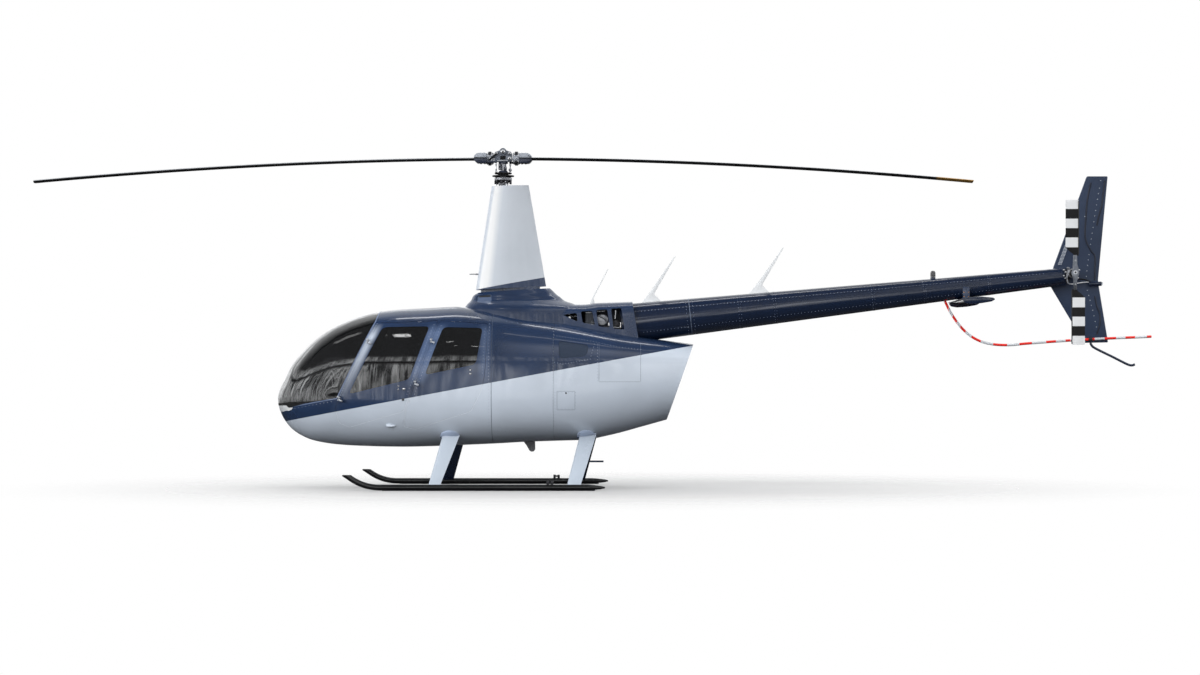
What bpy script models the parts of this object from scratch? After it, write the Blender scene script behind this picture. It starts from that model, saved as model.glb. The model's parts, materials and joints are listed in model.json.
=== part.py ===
"""A light five-seat turbine helicopter on skids, parked with its blades fore and aft.

Metres, +Z up. The nose points along -X, the machine's left side faces -Y, and the ground is Z = 0.
"""

import math

import bmesh
import bpy
from mathutils import Matrix, Vector

# Driving dimensions
GAP = 0.0003  # between pieces that touch
DOOR_GAP = 0.0055  # round each door
SKIN = 0.025  # wall of the fuselage
GLASS = 0.006
GLASS_SET_IN = 0.001

MAST_X = -0.948
ROTOR_RADIUS = 4.935
BLADE_ROOT = 0.303
BLADE_CHORD = 0.254
BLADE_THICKNESS = 0.026
BLADE_ROOT_Z = 3.459
BLADE_DROOP = 0.239

TAIL_HUB = (5.033, -0.30, 2.251)
TAIL_ROTOR_RADIUS = 0.756
TAIL_BLADE_CHORD = 0.135
TAIL_BLADE_LEAD = 0.034
FIN_PLANE_Y = 0.116
FIN_THICKNESS = 0.040

BOOM_FRONT = (0.30, 1.716, 0.2100)  # x, axis height, radius
BOOM_REAR = (4.958, 2.218, 0.0895)
BOOM_WALL = 0.004

SKID_Y = 1.13
SKID_RADIUS = 0.030
SKID_Z = 0.0343
SHOE_HALF_WIDTH = 0.012
LEG_TOP_Z = 0.56
# Each leg's front and rear edge on the skid and on the belly
LEGS = (
    ("front", (-1.663, -1.545), (-1.547, -1.370)),
    ("rear", (-0.252, -0.115), (-0.133, 0.038)),
)

FIREWALL_X = -1.04
MID_X = -0.40
ROOF_Z = 1.752
PAN_Z = 0.602
POST_HALF_WIDTH = 0.014

DOOR_SWING_MARGIN = 0.012
KNUCKLE_RADIUS = 0.008
KNUCKLE_LENGTH = 0.022

# The body's stations: x, bottom, top, half width, height of the widest line, upper and lower
# roundness
STATIONS = (
    (-3.316, 0.925, 0.945, 0.015, 0.935, 2.0, 2.0),
    (-3.303, 0.850, 1.005, 0.115, 0.930, 2.0, 2.0),
    (-3.272, 0.760, 1.080, 0.205, 0.925, 2.0, 2.0),
    (-3.228, 0.686, 1.162, 0.285, 0.920, 2.0, 2.0),
    (-3.162, 0.612, 1.294, 0.360, 0.925, 2.1, 2.1),
    (-3.068, 0.548, 1.406, 0.432, 0.935, 2.2, 2.2),
    (-2.956, 0.500, 1.519, 0.492, 0.950, 2.3, 2.3),
    (-2.824, 0.471, 1.623, 0.545, 0.965, 2.4, 2.4),
    (-2.674, 0.451, 1.707, 0.590, 0.980, 2.5, 2.4),
    (-2.504, 0.440, 1.778, 0.635, 0.990, 2.5, 2.5),
    (-2.364, 0.435, 1.820, 0.665, 1.000, 2.5, 2.6),
    (-2.232, 0.431, 1.848, 0.690, 1.000, 2.5, 2.7),
    (-1.992, 0.428, 1.872, 0.720, 1.000, 2.5, 2.8),
    (-1.728, 0.433, 1.884, 0.735, 1.000, 2.5, 2.8),
    (-1.427, 0.444, 1.900, 0.740, 1.000, 2.5, 2.8),
    (-1.040, 0.461, 1.860, 0.735, 1.005, 2.6, 2.8),
    (-0.700, 0.480, 1.805, 0.715, 1.015, 2.7, 2.8),
    (-0.400, 0.490, 1.757, 0.685, 1.030, 2.8, 2.7),
    (-0.100, 0.500, 1.697, 0.635, 1.060, 2.9, 2.6),
    (0.200, 0.555, 1.632, 0.570, 1.100, 3.0, 2.5),
    (0.500, 0.636, 1.580, 0.497, 1.135, 3.0, 2.4),
    (0.800, 0.720, 1.540, 0.428, 1.165, 3.0, 2.3),
    (1.200, 0.830, 1.485, 0.340, 1.200, 3.0, 2.3),
)
AROUND = 28

# Side views of the panels, as x and z
AFT_FACE = ((0.772, 0.712), (1.048, 1.494))
WINDSHIELD = (
    (-3.420, 0.905),
    (-3.170, 0.850),
    (-2.645, 0.943),
    (-2.262, 1.735),
    (-2.232, 1.850),
    (-2.200, 1.950),
    (-3.420, 1.950),
)
FRONT_DOOR = (
    (-2.218, 1.716),
    (-1.604, 1.741),
    (-1.944, 0.808),
    (-2.520, 0.640),
    (-2.620, 0.690),
    (-2.655, 0.841),
)
FRONT_WINDOW = ((-2.515, 0.981), (-2.174, 1.676), (-1.683, 1.685), (-1.883, 1.133))
REAR_DOOR = (
    (-1.580, 1.741),
    (-1.083, 1.710),
    (-1.104, 1.210),
    (-1.137, 1.033),
    (-1.248, 0.808),
    (-1.826, 0.622),
    (-1.940, 0.650),
    (-1.919, 0.808),
)
REAR_WINDOW = ((-1.542, 1.676), (-1.722, 1.179), (-1.197, 1.289), (-1.132, 1.667))
GRILLE = ((-0.349, 1.534), (-0.034, 1.489), (-0.060, 1.376), (-0.340, 1.351))
# Each door's straight front edge, and the heights of its two hinges
FRONT_EDGE = ((-2.218, 1.716), (-2.655, 0.841))
FRONT_HINGES = (1.529, 0.935)
REAR_EDGE = ((-1.580, 1.741), (-1.919, 0.808))
REAR_HINGES = (1.536, 1.100)

FIN = (
    (4.855, 2.315),
    (5.209, 3.280),
    (5.429, 3.280),
    (5.327, 2.185),
    (5.337, 2.108),
    (5.433, 1.526),
    (5.184, 1.521),
    (4.827, 2.118),
)
GUARD = (
    (3.699, 0.000, 1.962),
    (3.774, 0.000, 1.818),
    (3.886, 0.000, 1.668),
    (4.018, 0.005, 1.564),
    (4.168, 0.012, 1.512),
    (4.356, 0.022, 1.497),
    (4.597, 0.034, 1.516),
    (5.034, 0.056, 1.547),
    (5.417, 0.0765, 1.567),
    (5.8824, 0.0765, 1.587),
)
TAIL_SKID = (
    (5.250, 0.116, 1.530),
    (5.258, 0.116, 1.500),
    (5.302, 0.116, 1.463),
    (5.486, 0.116, 1.372),
    (5.635, 0.116, 1.297),
    (5.687, 0.116, 1.284),
    (5.717, 0.116, 1.295),
)

END_PLATE = ((3.800, 1.925), (3.815, 1.985), (3.90, 2.003), (4.150, 1.972), (4.150, 1.955), (3.93, 1.922))
BELLY_AERIAL = (
    (-0.760, 0.52),
    (-0.613, 0.52),
    (-0.610, 0.400),
    (-0.626, 0.378),
    (-0.652, 0.374),
    (-0.672, 0.388),
    (-0.705, 0.445),
    (-0.728, 0.474),
)
# The aerials on the spine and the boom: half thickness and side view
WHIPS = (
    (0.004, ((-0.054, 1.88), (-0.010, 1.995), (0.151, 2.300), (0.160, 2.298), (0.002, 1.990), (0.030, 1.88))),
    (
        0.005,
        (
            (0.499, 1.93),
            (0.608, 2.073),
            (0.853, 2.430),
            (0.868, 2.433),
            (0.649, 2.051),
            (0.642, 2.030),
            (0.678, 1.999),
            (0.740, 1.93),
        ),
    ),
    (
        0.005,
        (
            (1.622, 2.02),
            (1.755, 2.186),
            (1.990, 2.521),
            (2.006, 2.523),
            (1.788, 2.150),
            (1.779, 2.128),
            (1.811, 2.094),
            (1.880, 2.02),
        ),
    ),
)

FINISHES = {
    "navy": ((0.016, 0.036, 0.115), 0.22, 0.0),
    "silver": ((0.55, 0.61, 0.70), 0.30, 0.0),
    "white": ((0.82, 0.83, 0.85), 0.40, 0.0),
    "glass": ((0.02, 0.022, 0.024), 0.05, 0.0),
    "black": ((0.012, 0.012, 0.012), 0.45, 0.0),
    "metal": ((0.55, 0.56, 0.58), 0.30, 1.0),
    "dark metal": ((0.10, 0.10, 0.105), 0.40, 1.0),
    "red": ((0.75, 0.02, 0.01), 0.35, 0.0),
    "leather": ((0.09, 0.085, 0.08), 0.55, 0.0),
}


def clear_scene():
    for obj in list(bpy.data.objects):
        bpy.data.objects.remove(obj, do_unlink=True)


def new_collection(name):
    group = bpy.data.collections.new(name)
    bpy.context.scene.collection.children.link(group)
    return group


clear_scene()
PARTS = new_collection("helicopter")
CUTTERS = new_collection("helicopter_cutters")


def finish(name):
    """The material of one finish, made when it is first asked for."""
    if name in bpy.data.materials:
        return bpy.data.materials[name]
    colour, roughness, metallic = FINISHES[name]
    material = bpy.data.materials.new(name)
    material.use_nodes = True
    shader = material.node_tree.nodes["Principled BSDF"]
    shader.inputs["Base Color"].default_value = (*colour, 1.0)
    shader.inputs["Roughness"].default_value = roughness
    shader.inputs["Metallic"].default_value = metallic
    return material


def to_mesh(name, bm):
    bmesh.ops.recalc_face_normals(bm, faces=bm.faces)
    mesh = bpy.data.meshes.new(name)
    bm.to_mesh(mesh)
    bm.free()
    return mesh


def part(name, bm, look):
    """A named piece of the machine."""
    mesh = to_mesh(name, bm)
    mesh.materials.append(finish(look))
    mesh.shade_smooth()
    mesh.set_sharp_from_angle(angle=math.radians(35))
    obj = bpy.data.objects.new(name, mesh)
    PARTS.objects.link(obj)
    return obj


def cutter(name, bm):
    """A solid that only shapes others."""
    obj = bpy.data.objects.new(name, to_mesh(name, bm))
    CUTTERS.objects.link(obj)
    obj.hide_render = True
    obj.display_type = "WIRE"
    return obj


def combine(obj, operation, *others):
    for other in others:
        modifier = obj.modifiers.new(f"{operation} {other.name}"[:60], "BOOLEAN")
        modifier.operation = operation
        modifier.solver = "EXACT"
        modifier.object = other
    return obj


def cut(obj, *others):
    return combine(obj, "DIFFERENCE", *others)


def keep(obj, *others):
    return combine(obj, "INTERSECT", *others)


def join(obj, *others):
    return combine(obj, "UNION", *others)


# Plain shapes


def box(low, high):
    bm = bmesh.new()
    bmesh.ops.create_cube(bm, size=1.0)
    size = Vector(high) - Vector(low)
    centre = (Vector(high) + Vector(low)) / 2
    bmesh.ops.transform(bm, matrix=Matrix.Translation(centre) @ Matrix.Diagonal((*size, 1.0)), verts=bm.verts)
    return bm


def rod(start, end, radius, end_radius=None, segments=16):
    """A cylinder or cone between two points."""
    start, end = Vector(start), Vector(end)
    bm = bmesh.new()
    bmesh.ops.create_cone(
        bm,
        cap_ends=True,
        segments=segments,
        radius1=radius,
        radius2=radius if end_radius is None else end_radius,
        depth=(end - start).length,
    )
    turn = (end - start).to_track_quat("Z", "Y").to_matrix().to_4x4()
    bmesh.ops.transform(bm, matrix=Matrix.Translation((start + end) / 2) @ turn, verts=bm.verts)
    return bm


def ball(centre, radii, u=16, v=8):
    bm = bmesh.new()
    bmesh.ops.create_uvsphere(bm, u_segments=u, v_segments=v, radius=1.0)
    place = Matrix.Translation(centre) @ Matrix.Diagonal((*radii, 1.0))
    bmesh.ops.transform(bm, matrix=place, verts=bm.verts)
    return bm


def slab(outline, low, high, plane="xz"):
    """A flat outline given as two coordinates, drawn out along the third."""
    order = {"xz": (0, 2, 1), "xy": (0, 1, 2), "yz": (1, 2, 0)}[plane]
    bm = bmesh.new()
    corners = []
    for a, b in outline:
        point = Vector((0, 0, 0))
        point[order[0]] = a
        point[order[1]] = b
        point[order[2]] = low
        corners.append(bm.verts.new(point))
    face = bm.faces.new(corners)
    grown = bmesh.ops.extrude_face_region(bm, geom=[face])
    step = Vector((0, 0, 0))
    step[order[2]] = high - low
    bmesh.ops.translate(bm, vec=step, verts=[v for v in grown["geom"] if isinstance(v, bmesh.types.BMVert)])
    return bm


def loft(rings):
    """A skin of triangles over rings of equal counts, closed at both ends."""
    bm = bmesh.new()
    rows = [[bm.verts.new(point) for point in ring] for ring in rings]
    count = len(rows[0])
    for near, far in zip(rows, rows[1:]):
        for i in range(count):
            j = (i + 1) % count
            bm.faces.new((near[i], near[j], far[j]))
            bm.faces.new((near[i], far[j], far[i]))
    bm.faces.new(rows[0])
    bm.faces.new(rows[-1])
    return bm


def tube(name, points, radius, look, resolution=2, smooth=True):
    """A round tube along a smooth line through the points, as a mesh."""
    curve = bpy.data.curves.new(name, "CURVE")
    curve.dimensions = "3D"
    curve.bevel_depth = radius
    curve.bevel_resolution = resolution
    curve.use_fill_caps = True
    spline = curve.splines.new("POLY")
    route = smooth_line(points) if smooth else [Vector(p) for p in points]
    spline.points.add(len(route) - 1)
    for target, point in zip(spline.points, route):
        target.co = (*point, 1.0)
    guide = bpy.data.objects.new(name + "_line", curve)
    CUTTERS.objects.link(guide)
    bpy.context.view_layer.update()
    evaluated = guide.evaluated_get(bpy.context.evaluated_depsgraph_get())
    mesh = bpy.data.meshes.new_from_object(evaluated)
    bm = bmesh.new()
    bm.from_mesh(mesh)
    bmesh.ops.remove_doubles(bm, verts=bm.verts, dist=0.00005)
    bpy.data.objects.remove(guide, do_unlink=True)
    bpy.data.meshes.remove(mesh)
    return part(name, bm, look) if look else cutter(name, bm)


def smooth_line(points, per_span=3):
    """Points along a Catmull-Rom line."""
    points = [Vector(p) for p in points]
    padded = [2 * points[0] - points[1], *points, 2 * points[-1] - points[-2]]
    line = []
    for i in range(1, len(padded) - 2):
        a, b, c, d = padded[i - 1 : i + 3]
        for step in range(per_span):
            t = step / per_span
            line.append(
                0.5
                * (2 * b + (c - a) * t + (2 * a - 5 * b + 4 * c - d) * t * t + (3 * b - a - 3 * c + d) * t**3)
            )
    line.append(points[-1])
    return line


def grown(outline, distance):
    """An outline with each edge moved out by a distance, or in by a negative one."""
    area = sum(x0 * z1 - x1 * z0 for (x0, z0), (x1, z1) in zip(outline, [*outline[1:], outline[0]]))
    turn = 1 if area > 0 else -1
    result = []
    for i, (x, z) in enumerate(outline):
        before = Vector((x, z)) - Vector(outline[i - 1])
        after = Vector(outline[(i + 1) % len(outline)]) - Vector((x, z))
        n0 = Vector((before.y, -before.x)).normalized() * turn
        n1 = Vector((after.y, -after.x)).normalized() * turn
        middle = (n0 + n1).normalized()
        result.append(tuple(Vector((x, z)) + middle * (distance / middle.dot(n0))))
    return result


def rounded(outline, radius, steps=3):
    """An outline with its corners rounded."""
    result = []
    for i, corner in enumerate(outline):
        corner = Vector(corner)
        to_last = Vector(outline[i - 1]) - corner
        to_next = Vector(outline[(i + 1) % len(outline)]) - corner
        reach = min(radius, 0.45 * to_last.length, 0.45 * to_next.length)
        start = corner + to_last.normalized() * reach
        end = corner + to_next.normalized() * reach
        for step in range(steps + 1):
            t = step / steps
            result.append(tuple((1 - t) ** 2 * start + 2 * t * (1 - t) * corner + t * t * end))
    return result


# The fuselage's outer form


def signed_power(value, power):
    return math.copysign(abs(value) ** power, value)


def body_ring(station):
    x, bottom, top, half_width, wide_z, upper, lower = station
    ring = []
    for i in range(AROUND):
        angle = 2 * math.pi * i / AROUND
        c, s = math.cos(angle), math.sin(angle)
        power = 2 / (upper if s >= 0 else lower)
        reach = top - wide_z if s >= 0 else wide_z - bottom
        ring.append(Vector((x, half_width * signed_power(c, power), wide_z + reach * signed_power(s, power))))
    return ring


def body_form(inset=0.0):
    """The whole outer form as one closed solid, moved in by a distance."""
    bm = loft([body_ring(station) for station in STATIONS])
    bmesh.ops.recalc_face_normals(bm, faces=bm.faces)
    bm.normal_update()
    moves = [(vert, vert.normal.copy()) for vert in bm.verts]
    for vert, normal in moves:
        vert.co -= normal * inset
    return bm


def station_at(x):
    """The stations' values at x, on straight lines between them."""
    for near, far in zip(STATIONS, STATIONS[1:]):
        if near[0] <= x <= far[0]:
            t = (x - near[0]) / (far[0] - near[0])
            return [a + (b - a) * t for a, b in zip(near, far)]
    return list(STATIONS[-1])


def skin_y(x, z):
    """Half the body's width at a place on its side."""
    _, bottom, top, half_width, wide_z, upper, lower = station_at(x)
    if z >= wide_z:
        share, power = (z - wide_z) / (top - wide_z), upper
    else:
        share, power = (wide_z - z) / (wide_z - bottom), lower
    return half_width * max(0.0, 1 - share**power) ** (1 / power)


OUTER = cutter("outer", body_form())
OUTER_GROWN = cutter("outer_grown", body_form(-GAP))
INNER = cutter("inner", body_form(SKIN))
INNER_FIT = cutter("inner_fit", body_form(SKIN + GAP))
INNER_GLASS = cutter("inner_glass", body_form(GLASS + GLASS_SET_IN))
OUTER_GLASS = cutter("outer_glass", body_form(GLASS_SET_IN))


def from_body(name, look, source=OUTER):
    """A piece that starts as the whole body's form."""
    mesh = source.data.copy()
    mesh.name = name
    mesh.materials.append(finish(look))
    mesh.shade_smooth()
    mesh.set_sharp_from_angle(angle=math.radians(35))
    obj = bpy.data.objects.new(name, mesh)
    PARTS.objects.link(obj)
    return obj


def aft_of_face(shift=0.0):
    """Everything behind the slanted aft face."""
    (x0, z0), (x1, z1) = AFT_FACE
    slope = (x1 - x0) / (z1 - z0)
    low, high = 0.3, 2.1
    outline = (
        (x0 + slope * (low - z0) + shift, low),
        (x0 + slope * (high - z0) + shift, high),
        (3.0, high),
        (3.0, low),
    )
    return slab(outline, -1.0, 1.0)


SIDES = ((-1, "left"), (1, "right"))


def side_slab(name, outline, side, inner=0.2, outer=1.2):
    low, high = sorted((side * inner, side * outer))
    return cutter(name, slab(outline, low, high))


BOOM_GROWN = cutter(
    "boom_grown",
    rod(
        (BOOM_FRONT[0] - 0.001, 0, BOOM_FRONT[1]),
        (BOOM_REAR[0], 0, BOOM_REAR[1]),
        BOOM_FRONT[2] + GAP,
        BOOM_REAR[2] + GAP,
        segments=32,
    ),
)


def cabin():
    """Nose, pillars and sills, with the roof, the belly and the glass as pieces of their own."""
    shell = from_body("cabin_shell", "navy")
    roof = from_body("roof_panel", "navy")
    pan = from_body("belly_pan", "silver")
    behind = cutter("behind_cabin", box((FIREWALL_X - GAP, -1, 0.2), (2.0, 1, 2.2)))
    above = cutter("above_cabin", box((-3.5, -1, ROOF_Z - GAP), (2.0, 1, 2.2)))
    below = cutter("below_roof", box((-3.5, -1, 0.2), (2.0, 1, ROOF_Z)))
    under_shell = cutter("under_shell", box((-3.5, -1, 0.2), (2.0, 1, PAN_Z)))
    over_pan = cutter("over_pan", box((-3.5, -1, PAN_Z - GAP), (2.0, 1, 2.2)))
    cut(shell, INNER, behind, above, under_shell)
    cut(pan, INNER, behind, over_pan)
    cut(roof, INNER, behind, below)
    lamp_low, lamp_high = (-3.5, -0.105, 0.790), (-3.15, 0.105, 0.868)
    lamp_hole = cutter("lamp_hole", box(lamp_low, lamp_high))
    cut(shell, lamp_hole)
    lens = from_body("landing_light_lens", "glass", OUTER_GLASS)
    fit = Vector((GAP, GAP, GAP))
    keep(lens, cutter("lamp_lens", box(Vector(lamp_low) + fit, Vector(lamp_high) - fit)))
    cut(lens, INNER_GLASS)
    for side, name in SIDES:
        hole = side_slab(f"windshield_hole_{name}", WINDSHIELD, side, POST_HALF_WIDTH)
        cut(shell, hole)
        cut(roof, hole)
        glass = from_body(f"windshield_{name}", "glass", OUTER_GLASS)
        outline = grown(WINDSHIELD, -GAP)
        keep(glass, side_slab(f"windshield_fit_{name}", outline, side, POST_HALF_WIDTH + GAP))
        cut(glass, INNER_GLASS)
    floor = from_body("cabin_floor", "black", INNER_FIT)
    planes = cutter("floor_slab", box((-2.98, -1, 0.570), (FIREWALL_X - 0.03, 1, 0.590)))
    join(planes, cutter("bulkhead_slab", box((FIREWALL_X - 0.045, -1, 0.3), (FIREWALL_X - 0.025, 1, 2.1))))
    keep(floor, planes)
    for side, name in SIDES:
        for outline in (FRONT_DOOR, REAR_DOOR):
            which = "front" if outline is FRONT_DOOR else "rear"
            hole = side_slab(f"doorway_{which}_{name}", rounded(grown(outline, DOOR_GAP), 0.03), side)
            cut(shell, hole)
            cut(roof, hole)
    return shell


def hinge_line(edge, heights, side):
    """The two hinge points of a door, clear of the skin's bulge between them."""
    (x0, z0), (x1, z1) = edge
    ahead = 0.0045

    def edge_x(z):
        return x0 + (x1 - x0) * (z - z0) / (z1 - z0) - ahead

    upper, lower = heights
    y_upper = skin_y(edge_x(upper), upper)
    y_lower = skin_y(edge_x(lower), lower)
    steps = 24
    bulge = 0.0
    for i in range(steps + 1):
        z = z1 + (z0 - z1) * i / steps
        line = y_lower + (y_upper - y_lower) * (z - lower) / (upper - lower)
        bulge = max(bulge, skin_y(edge_x(z), z) - line)
    out = bulge + DOOR_SWING_MARGIN
    return (
        Vector((edge_x(upper), side * (y_upper + out), upper)),
        Vector((edge_x(lower), side * (y_lower + out), lower)),
    )


def bracket(name, centre, axis, side, direction, reach, drop):
    """A knuckle on the hinge line with its arm: direction 1 is the door's, -1 the frame's."""
    outward = Vector((0, side, 0))
    outward = (outward - axis * outward.dot(axis)).normalized()
    aft = axis.cross(outward)
    if aft.x < 0:
        aft = -aft
    start = centre + axis * (GAP if direction > 0 else -KNUCKLE_LENGTH)
    end = centre + axis * (KNUCKLE_LENGTH if direction > 0 else -GAP)
    knuckle = rod(start, end, KNUCKLE_RADIUS, segments=12)
    turn = Matrix((aft * direction, outward, axis)).transposed().to_4x4()
    foot_start, thickness = 0.012, 0.7 * KNUCKLE_RADIUS
    half_length = 0.42 * (end - start).length
    outline = (
        (0.0, -thickness),
        (foot_start, -thickness),
        (foot_start, -drop),
        (reach, -drop),
        (reach, thickness),
        (0.0, thickness),
    )
    arm = slab(outline, -half_length, half_length, "xy")
    bmesh.ops.transform(arm, matrix=Matrix.Translation((start + end) / 2) @ turn, verts=arm.verts)
    return cutter(f"{name}_knuckle", knuckle), cutter(f"{name}_arm", arm)


def door(kind, outline, window, edge, heights, side, name, shell):
    """A door with its window glass, and both halves of its two hinges."""
    leaf = from_body(f"door_{kind}_{name}", "navy")
    keep(leaf, side_slab(f"leaf_{kind}_{name}", rounded(outline, 0.03), side))
    cut(leaf, INNER, side_slab(f"window_hole_{kind}_{name}", rounded(window, 0.05), side))
    glass = from_body(f"window_{kind}_{name}", "glass", OUTER_GLASS)
    keep(glass, side_slab(f"window_fit_{kind}_{name}", rounded(grown(window, -GAP), 0.05), side))
    cut(glass, INNER_GLASS)
    upper, lower = hinge_line(edge, heights, side)
    axis = (lower - upper).normalized()
    for point, where in ((upper, "upper"), (lower, "lower")):
        depth = abs(point.y) - skin_y(point.x, point.z)
        drop = depth + 0.5 * SKIN
        tag = f"hinge_{kind}_{name}_{where}"
        join(leaf, *bracket(tag + "_door", point, axis, side, 1, 0.040, drop))
        join(shell, *bracket(tag + "_frame", point, axis, side, -1, 0.018 if kind == "rear" else 0.028, drop))
    return leaf


def rear_fuselage():
    """The body behind the cabin: two shells, the slanted aft panel and what is inside."""
    mid = from_body("mid_fuselage", "navy")
    cut(
        mid,
        INNER,
        cutter("ahead_of_mid", box((-3.5, -1, 0.2), (FIREWALL_X, 1, 2.2))),
        cutter("behind_mid", box((MID_X - GAP, -1, 0.2), (2.0, 1, 2.2))),
    )
    cowl = from_body("engine_cowl", "silver")
    cut(
        cowl,
        INNER,
        cutter("ahead_of_cowl", box((-3.5, -1, 0.2), (MID_X, 1, 2.2))),
        cutter("behind_cowl", aft_of_face()),
        BOOM_GROWN,
    )
    for side, name in SIDES:
        cut(cowl, side_slab(f"grille_hole_{name}", rounded(GRILLE, 0.04), side))
        grille_skin = cutter(f"grille_skin_{name}", body_form(0.004))
        grille = from_body(f"cowl_grille_{name}", "dark metal", grille_skin)
        keep(grille, side_slab(f"grille_fit_{name}", rounded(grown(GRILLE, -GAP), 0.04), side))
        cut(grille, cutter(f"grille_back_{name}", body_form(0.012)))
    panel = from_body("aft_panel", "silver", INNER_FIT)
    panel_set_in, panel_thickness = -0.012, 0.012
    front_of_panel = cutter("front_of_panel", aft_of_face(panel_set_in - panel_thickness))
    keep(panel, front_of_panel)
    cut(panel, cutter("behind_panel", aft_of_face(panel_set_in)), BOOM_GROWN)
    pipe_centre = Vector((0.93, 0.0, 1.10))
    lean = Vector((1.0, 0.0, -0.30)).normalized()
    pipe_radius, pipe_bore = 0.085, 0.078
    start, end = pipe_centre - lean * 0.30, pipe_centre + lean * 0.05
    cut(panel, cutter("pipe_hole", rod(start, end + lean * 0.2, pipe_radius + GAP, segments=24)))
    pipe = part("exhaust_pipe", rod(start, end + lean * 0.1, pipe_radius, segments=24), "dark metal")
    cut(pipe, cutter("pipe_bore", rod(start + lean * 0.01, end + lean * 0.3, pipe_bore, segments=24)))
    cut(pipe, cutter("pipe_end", aft_of_face(-0.004)))
    engine = from_body("engine_on_deck", "metal", INNER_FIT)
    keep(engine, cutter("deck_slab", box((-0.98, -1, 0.900), (0.60, 1, 0.912))))
    join(
        engine,
        cutter("engine_base", box((-0.50, -0.17, 0.905), (0.10, 0.17, 1.20))),
        cutter("engine_case", rod((-0.62, 0, 1.22), (0.28, 0, 1.22), 0.22, segments=24)),
        cutter("engine_tail", rod((0.20, 0, 1.22), (0.60, 0, 1.18), 0.16, 0.10, segments=24)),
    )
    return mid, cowl


def thickness_share(share):
    """A streamlined section's thickness at a share of its length, 1 at its thickest."""
    fall = 0.126 * share + 0.3516 * share**2 - 0.2843 * share**3 + 0.1015 * share**4
    return 10 * (0.2969 * math.sqrt(share) - fall)


def plan_ring(front, aft, half_width, height, slope=0.0, count=20):
    """An oval plan section between two x values."""
    ring = []
    for i in range(count):
        angle = 2 * math.pi * i / count
        x = (front + aft) / 2 + (aft - front) / 2 * math.cos(angle)
        ring.append(Vector((x, half_width * math.sin(angle), height + slope * (x - front))))
    return ring


MAST_BASE_RINGS = (
    (-1.360, -0.080, 0.400, 1.55),
    (-1.360, -0.110, 0.370, 1.86),
    (-1.345, -0.145, 0.335, 1.903),
    (-1.320, -0.218, 0.290, 1.934),
    (-1.290, -0.300, 0.245, 1.962),
    (-1.262, -0.368, 0.215, 2.015),
)
BASE_TOP = (-1.215, -0.454, 0.180, 2.046, 0.0618)


def mast_base_form(inset=0.0):
    rings = []
    for front, aft, half, height in MAST_BASE_RINGS:
        rings.append(plan_ring(front + inset, aft - inset, half - inset, height))
    front, aft, half, height, slope = BASE_TOP
    rings.append(plan_ring(front + inset, aft - inset, half - inset, height - inset, slope))
    return loft(rings)


FAIRING_FOOT = (-1.236, -0.496, 0.155, 2.075, 0.0527)
FAIRING_TOP = (-1.069, -0.680, 0.100, 3.166, 0.035)
FAIRING_RIBS = (2.16, 3.02)
FAIRING_RIB = 0.012
TOWER_TOP = 3.165


def fairing_ring(front, aft, half_width, height, slope, count=24):
    """A plan section with a round front and a thin rear edge."""
    ring = []
    for i in range(count):
        angle = 2 * math.pi * i / count
        share = (1 + math.cos(angle)) / 2
        x = front + (aft - front) * share
        y = math.copysign(half_width * thickness_share(share), math.sin(angle))
        ring.append(Vector((x, y, height + slope * (x - front))))
    return ring


def mast_fairing_form(inset=0.0, below=0.0, above=0.0):
    levels = []
    for front, aft, half, height, slope in (FAIRING_FOOT, FAIRING_TOP):
        levels.append((front + inset, aft - inset, half - inset, height, slope))
    rings = []
    for t in (-below, 0.0, 0.5, 1.0, 1.0 + above):
        values = [a + (b - a) * t for a, b in zip(*levels)]
        rings.append(fairing_ring(*values))
    return loft(rings)


def spine_form(inset=0.0):
    """The fairing behind the mast that the boom comes out of."""
    sections = (
        (-0.60, 1.930, 0.300),
        (-0.30, 1.926, 0.290),
        (-0.10, 1.924, 0.272),
        (0.057, 1.941, 0.256),
        (0.25, 1.947, 0.240),
        (0.52, 1.957, 0.228),
    )
    rings = []
    for x, top, half in sections:
        ring = []
        floor, shoulder = 1.50, top - 0.15
        ring.append(Vector((x, -half + inset, floor)))
        steps = 8
        for i in range(steps + 1):
            angle = math.pi * (1 - i / steps)
            y = (half - inset) * signed_power(math.cos(angle), 0.85)
            z = shoulder + (top - inset - shoulder) * math.sin(angle) ** 0.85
            ring.append(Vector((x, y, z)))
        ring.append(Vector((x, half - inset, floor)))
        rings.append(ring)
    return loft(rings)


SPINE_OPENINGS = (
    ((-0.310, 1.809), (-0.168, 1.831), (-0.160, 1.737)),
    ((-0.126, 1.846), (-0.008, 1.850), (0.022, 1.706), (-0.106, 1.726)),
    ((0.035, 1.860), (0.150, 1.868), (0.176, 1.676), (0.058, 1.690)),
    ((0.190, 1.876), (0.296, 1.882), (0.332, 1.657), (0.216, 1.665)),
)


def oil_cooler():
    """What shows through the spine's openings: a cooler block, a duct and a pump on one tray."""
    tray = ((-0.078, 1.50), (-0.078, 1.73), (0.00, 1.725), (0.29, 1.68), (0.29, 1.50))
    cooler = part("oil_cooler", slab(tray, -0.16, 0.16), "dark metal")
    join(
        cooler,
        cutter("cooler_block", box((-0.078, -0.19, 1.60), (0.005, 0.19, 1.838))),
        cutter("cooler_duct", rod((0.095, -0.19, 1.755), (0.095, 0.19, 1.755), 0.068, segments=20)),
        cutter("cooler_duct_foot", box((0.050, -0.12, 1.64), (0.140, 0.12, 1.74))),
        cutter("cooler_pump", rod((0.235, -0.17, 1.715), (0.235, 0.17, 1.715), 0.050, segments=20)),
        cutter("cooler_pump_foot", box((0.200, -0.12, 1.64), (0.270, 0.12, 1.70))),
    )
    cut(cooler, OUTER_GROWN, BOOM_GROWN)


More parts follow.
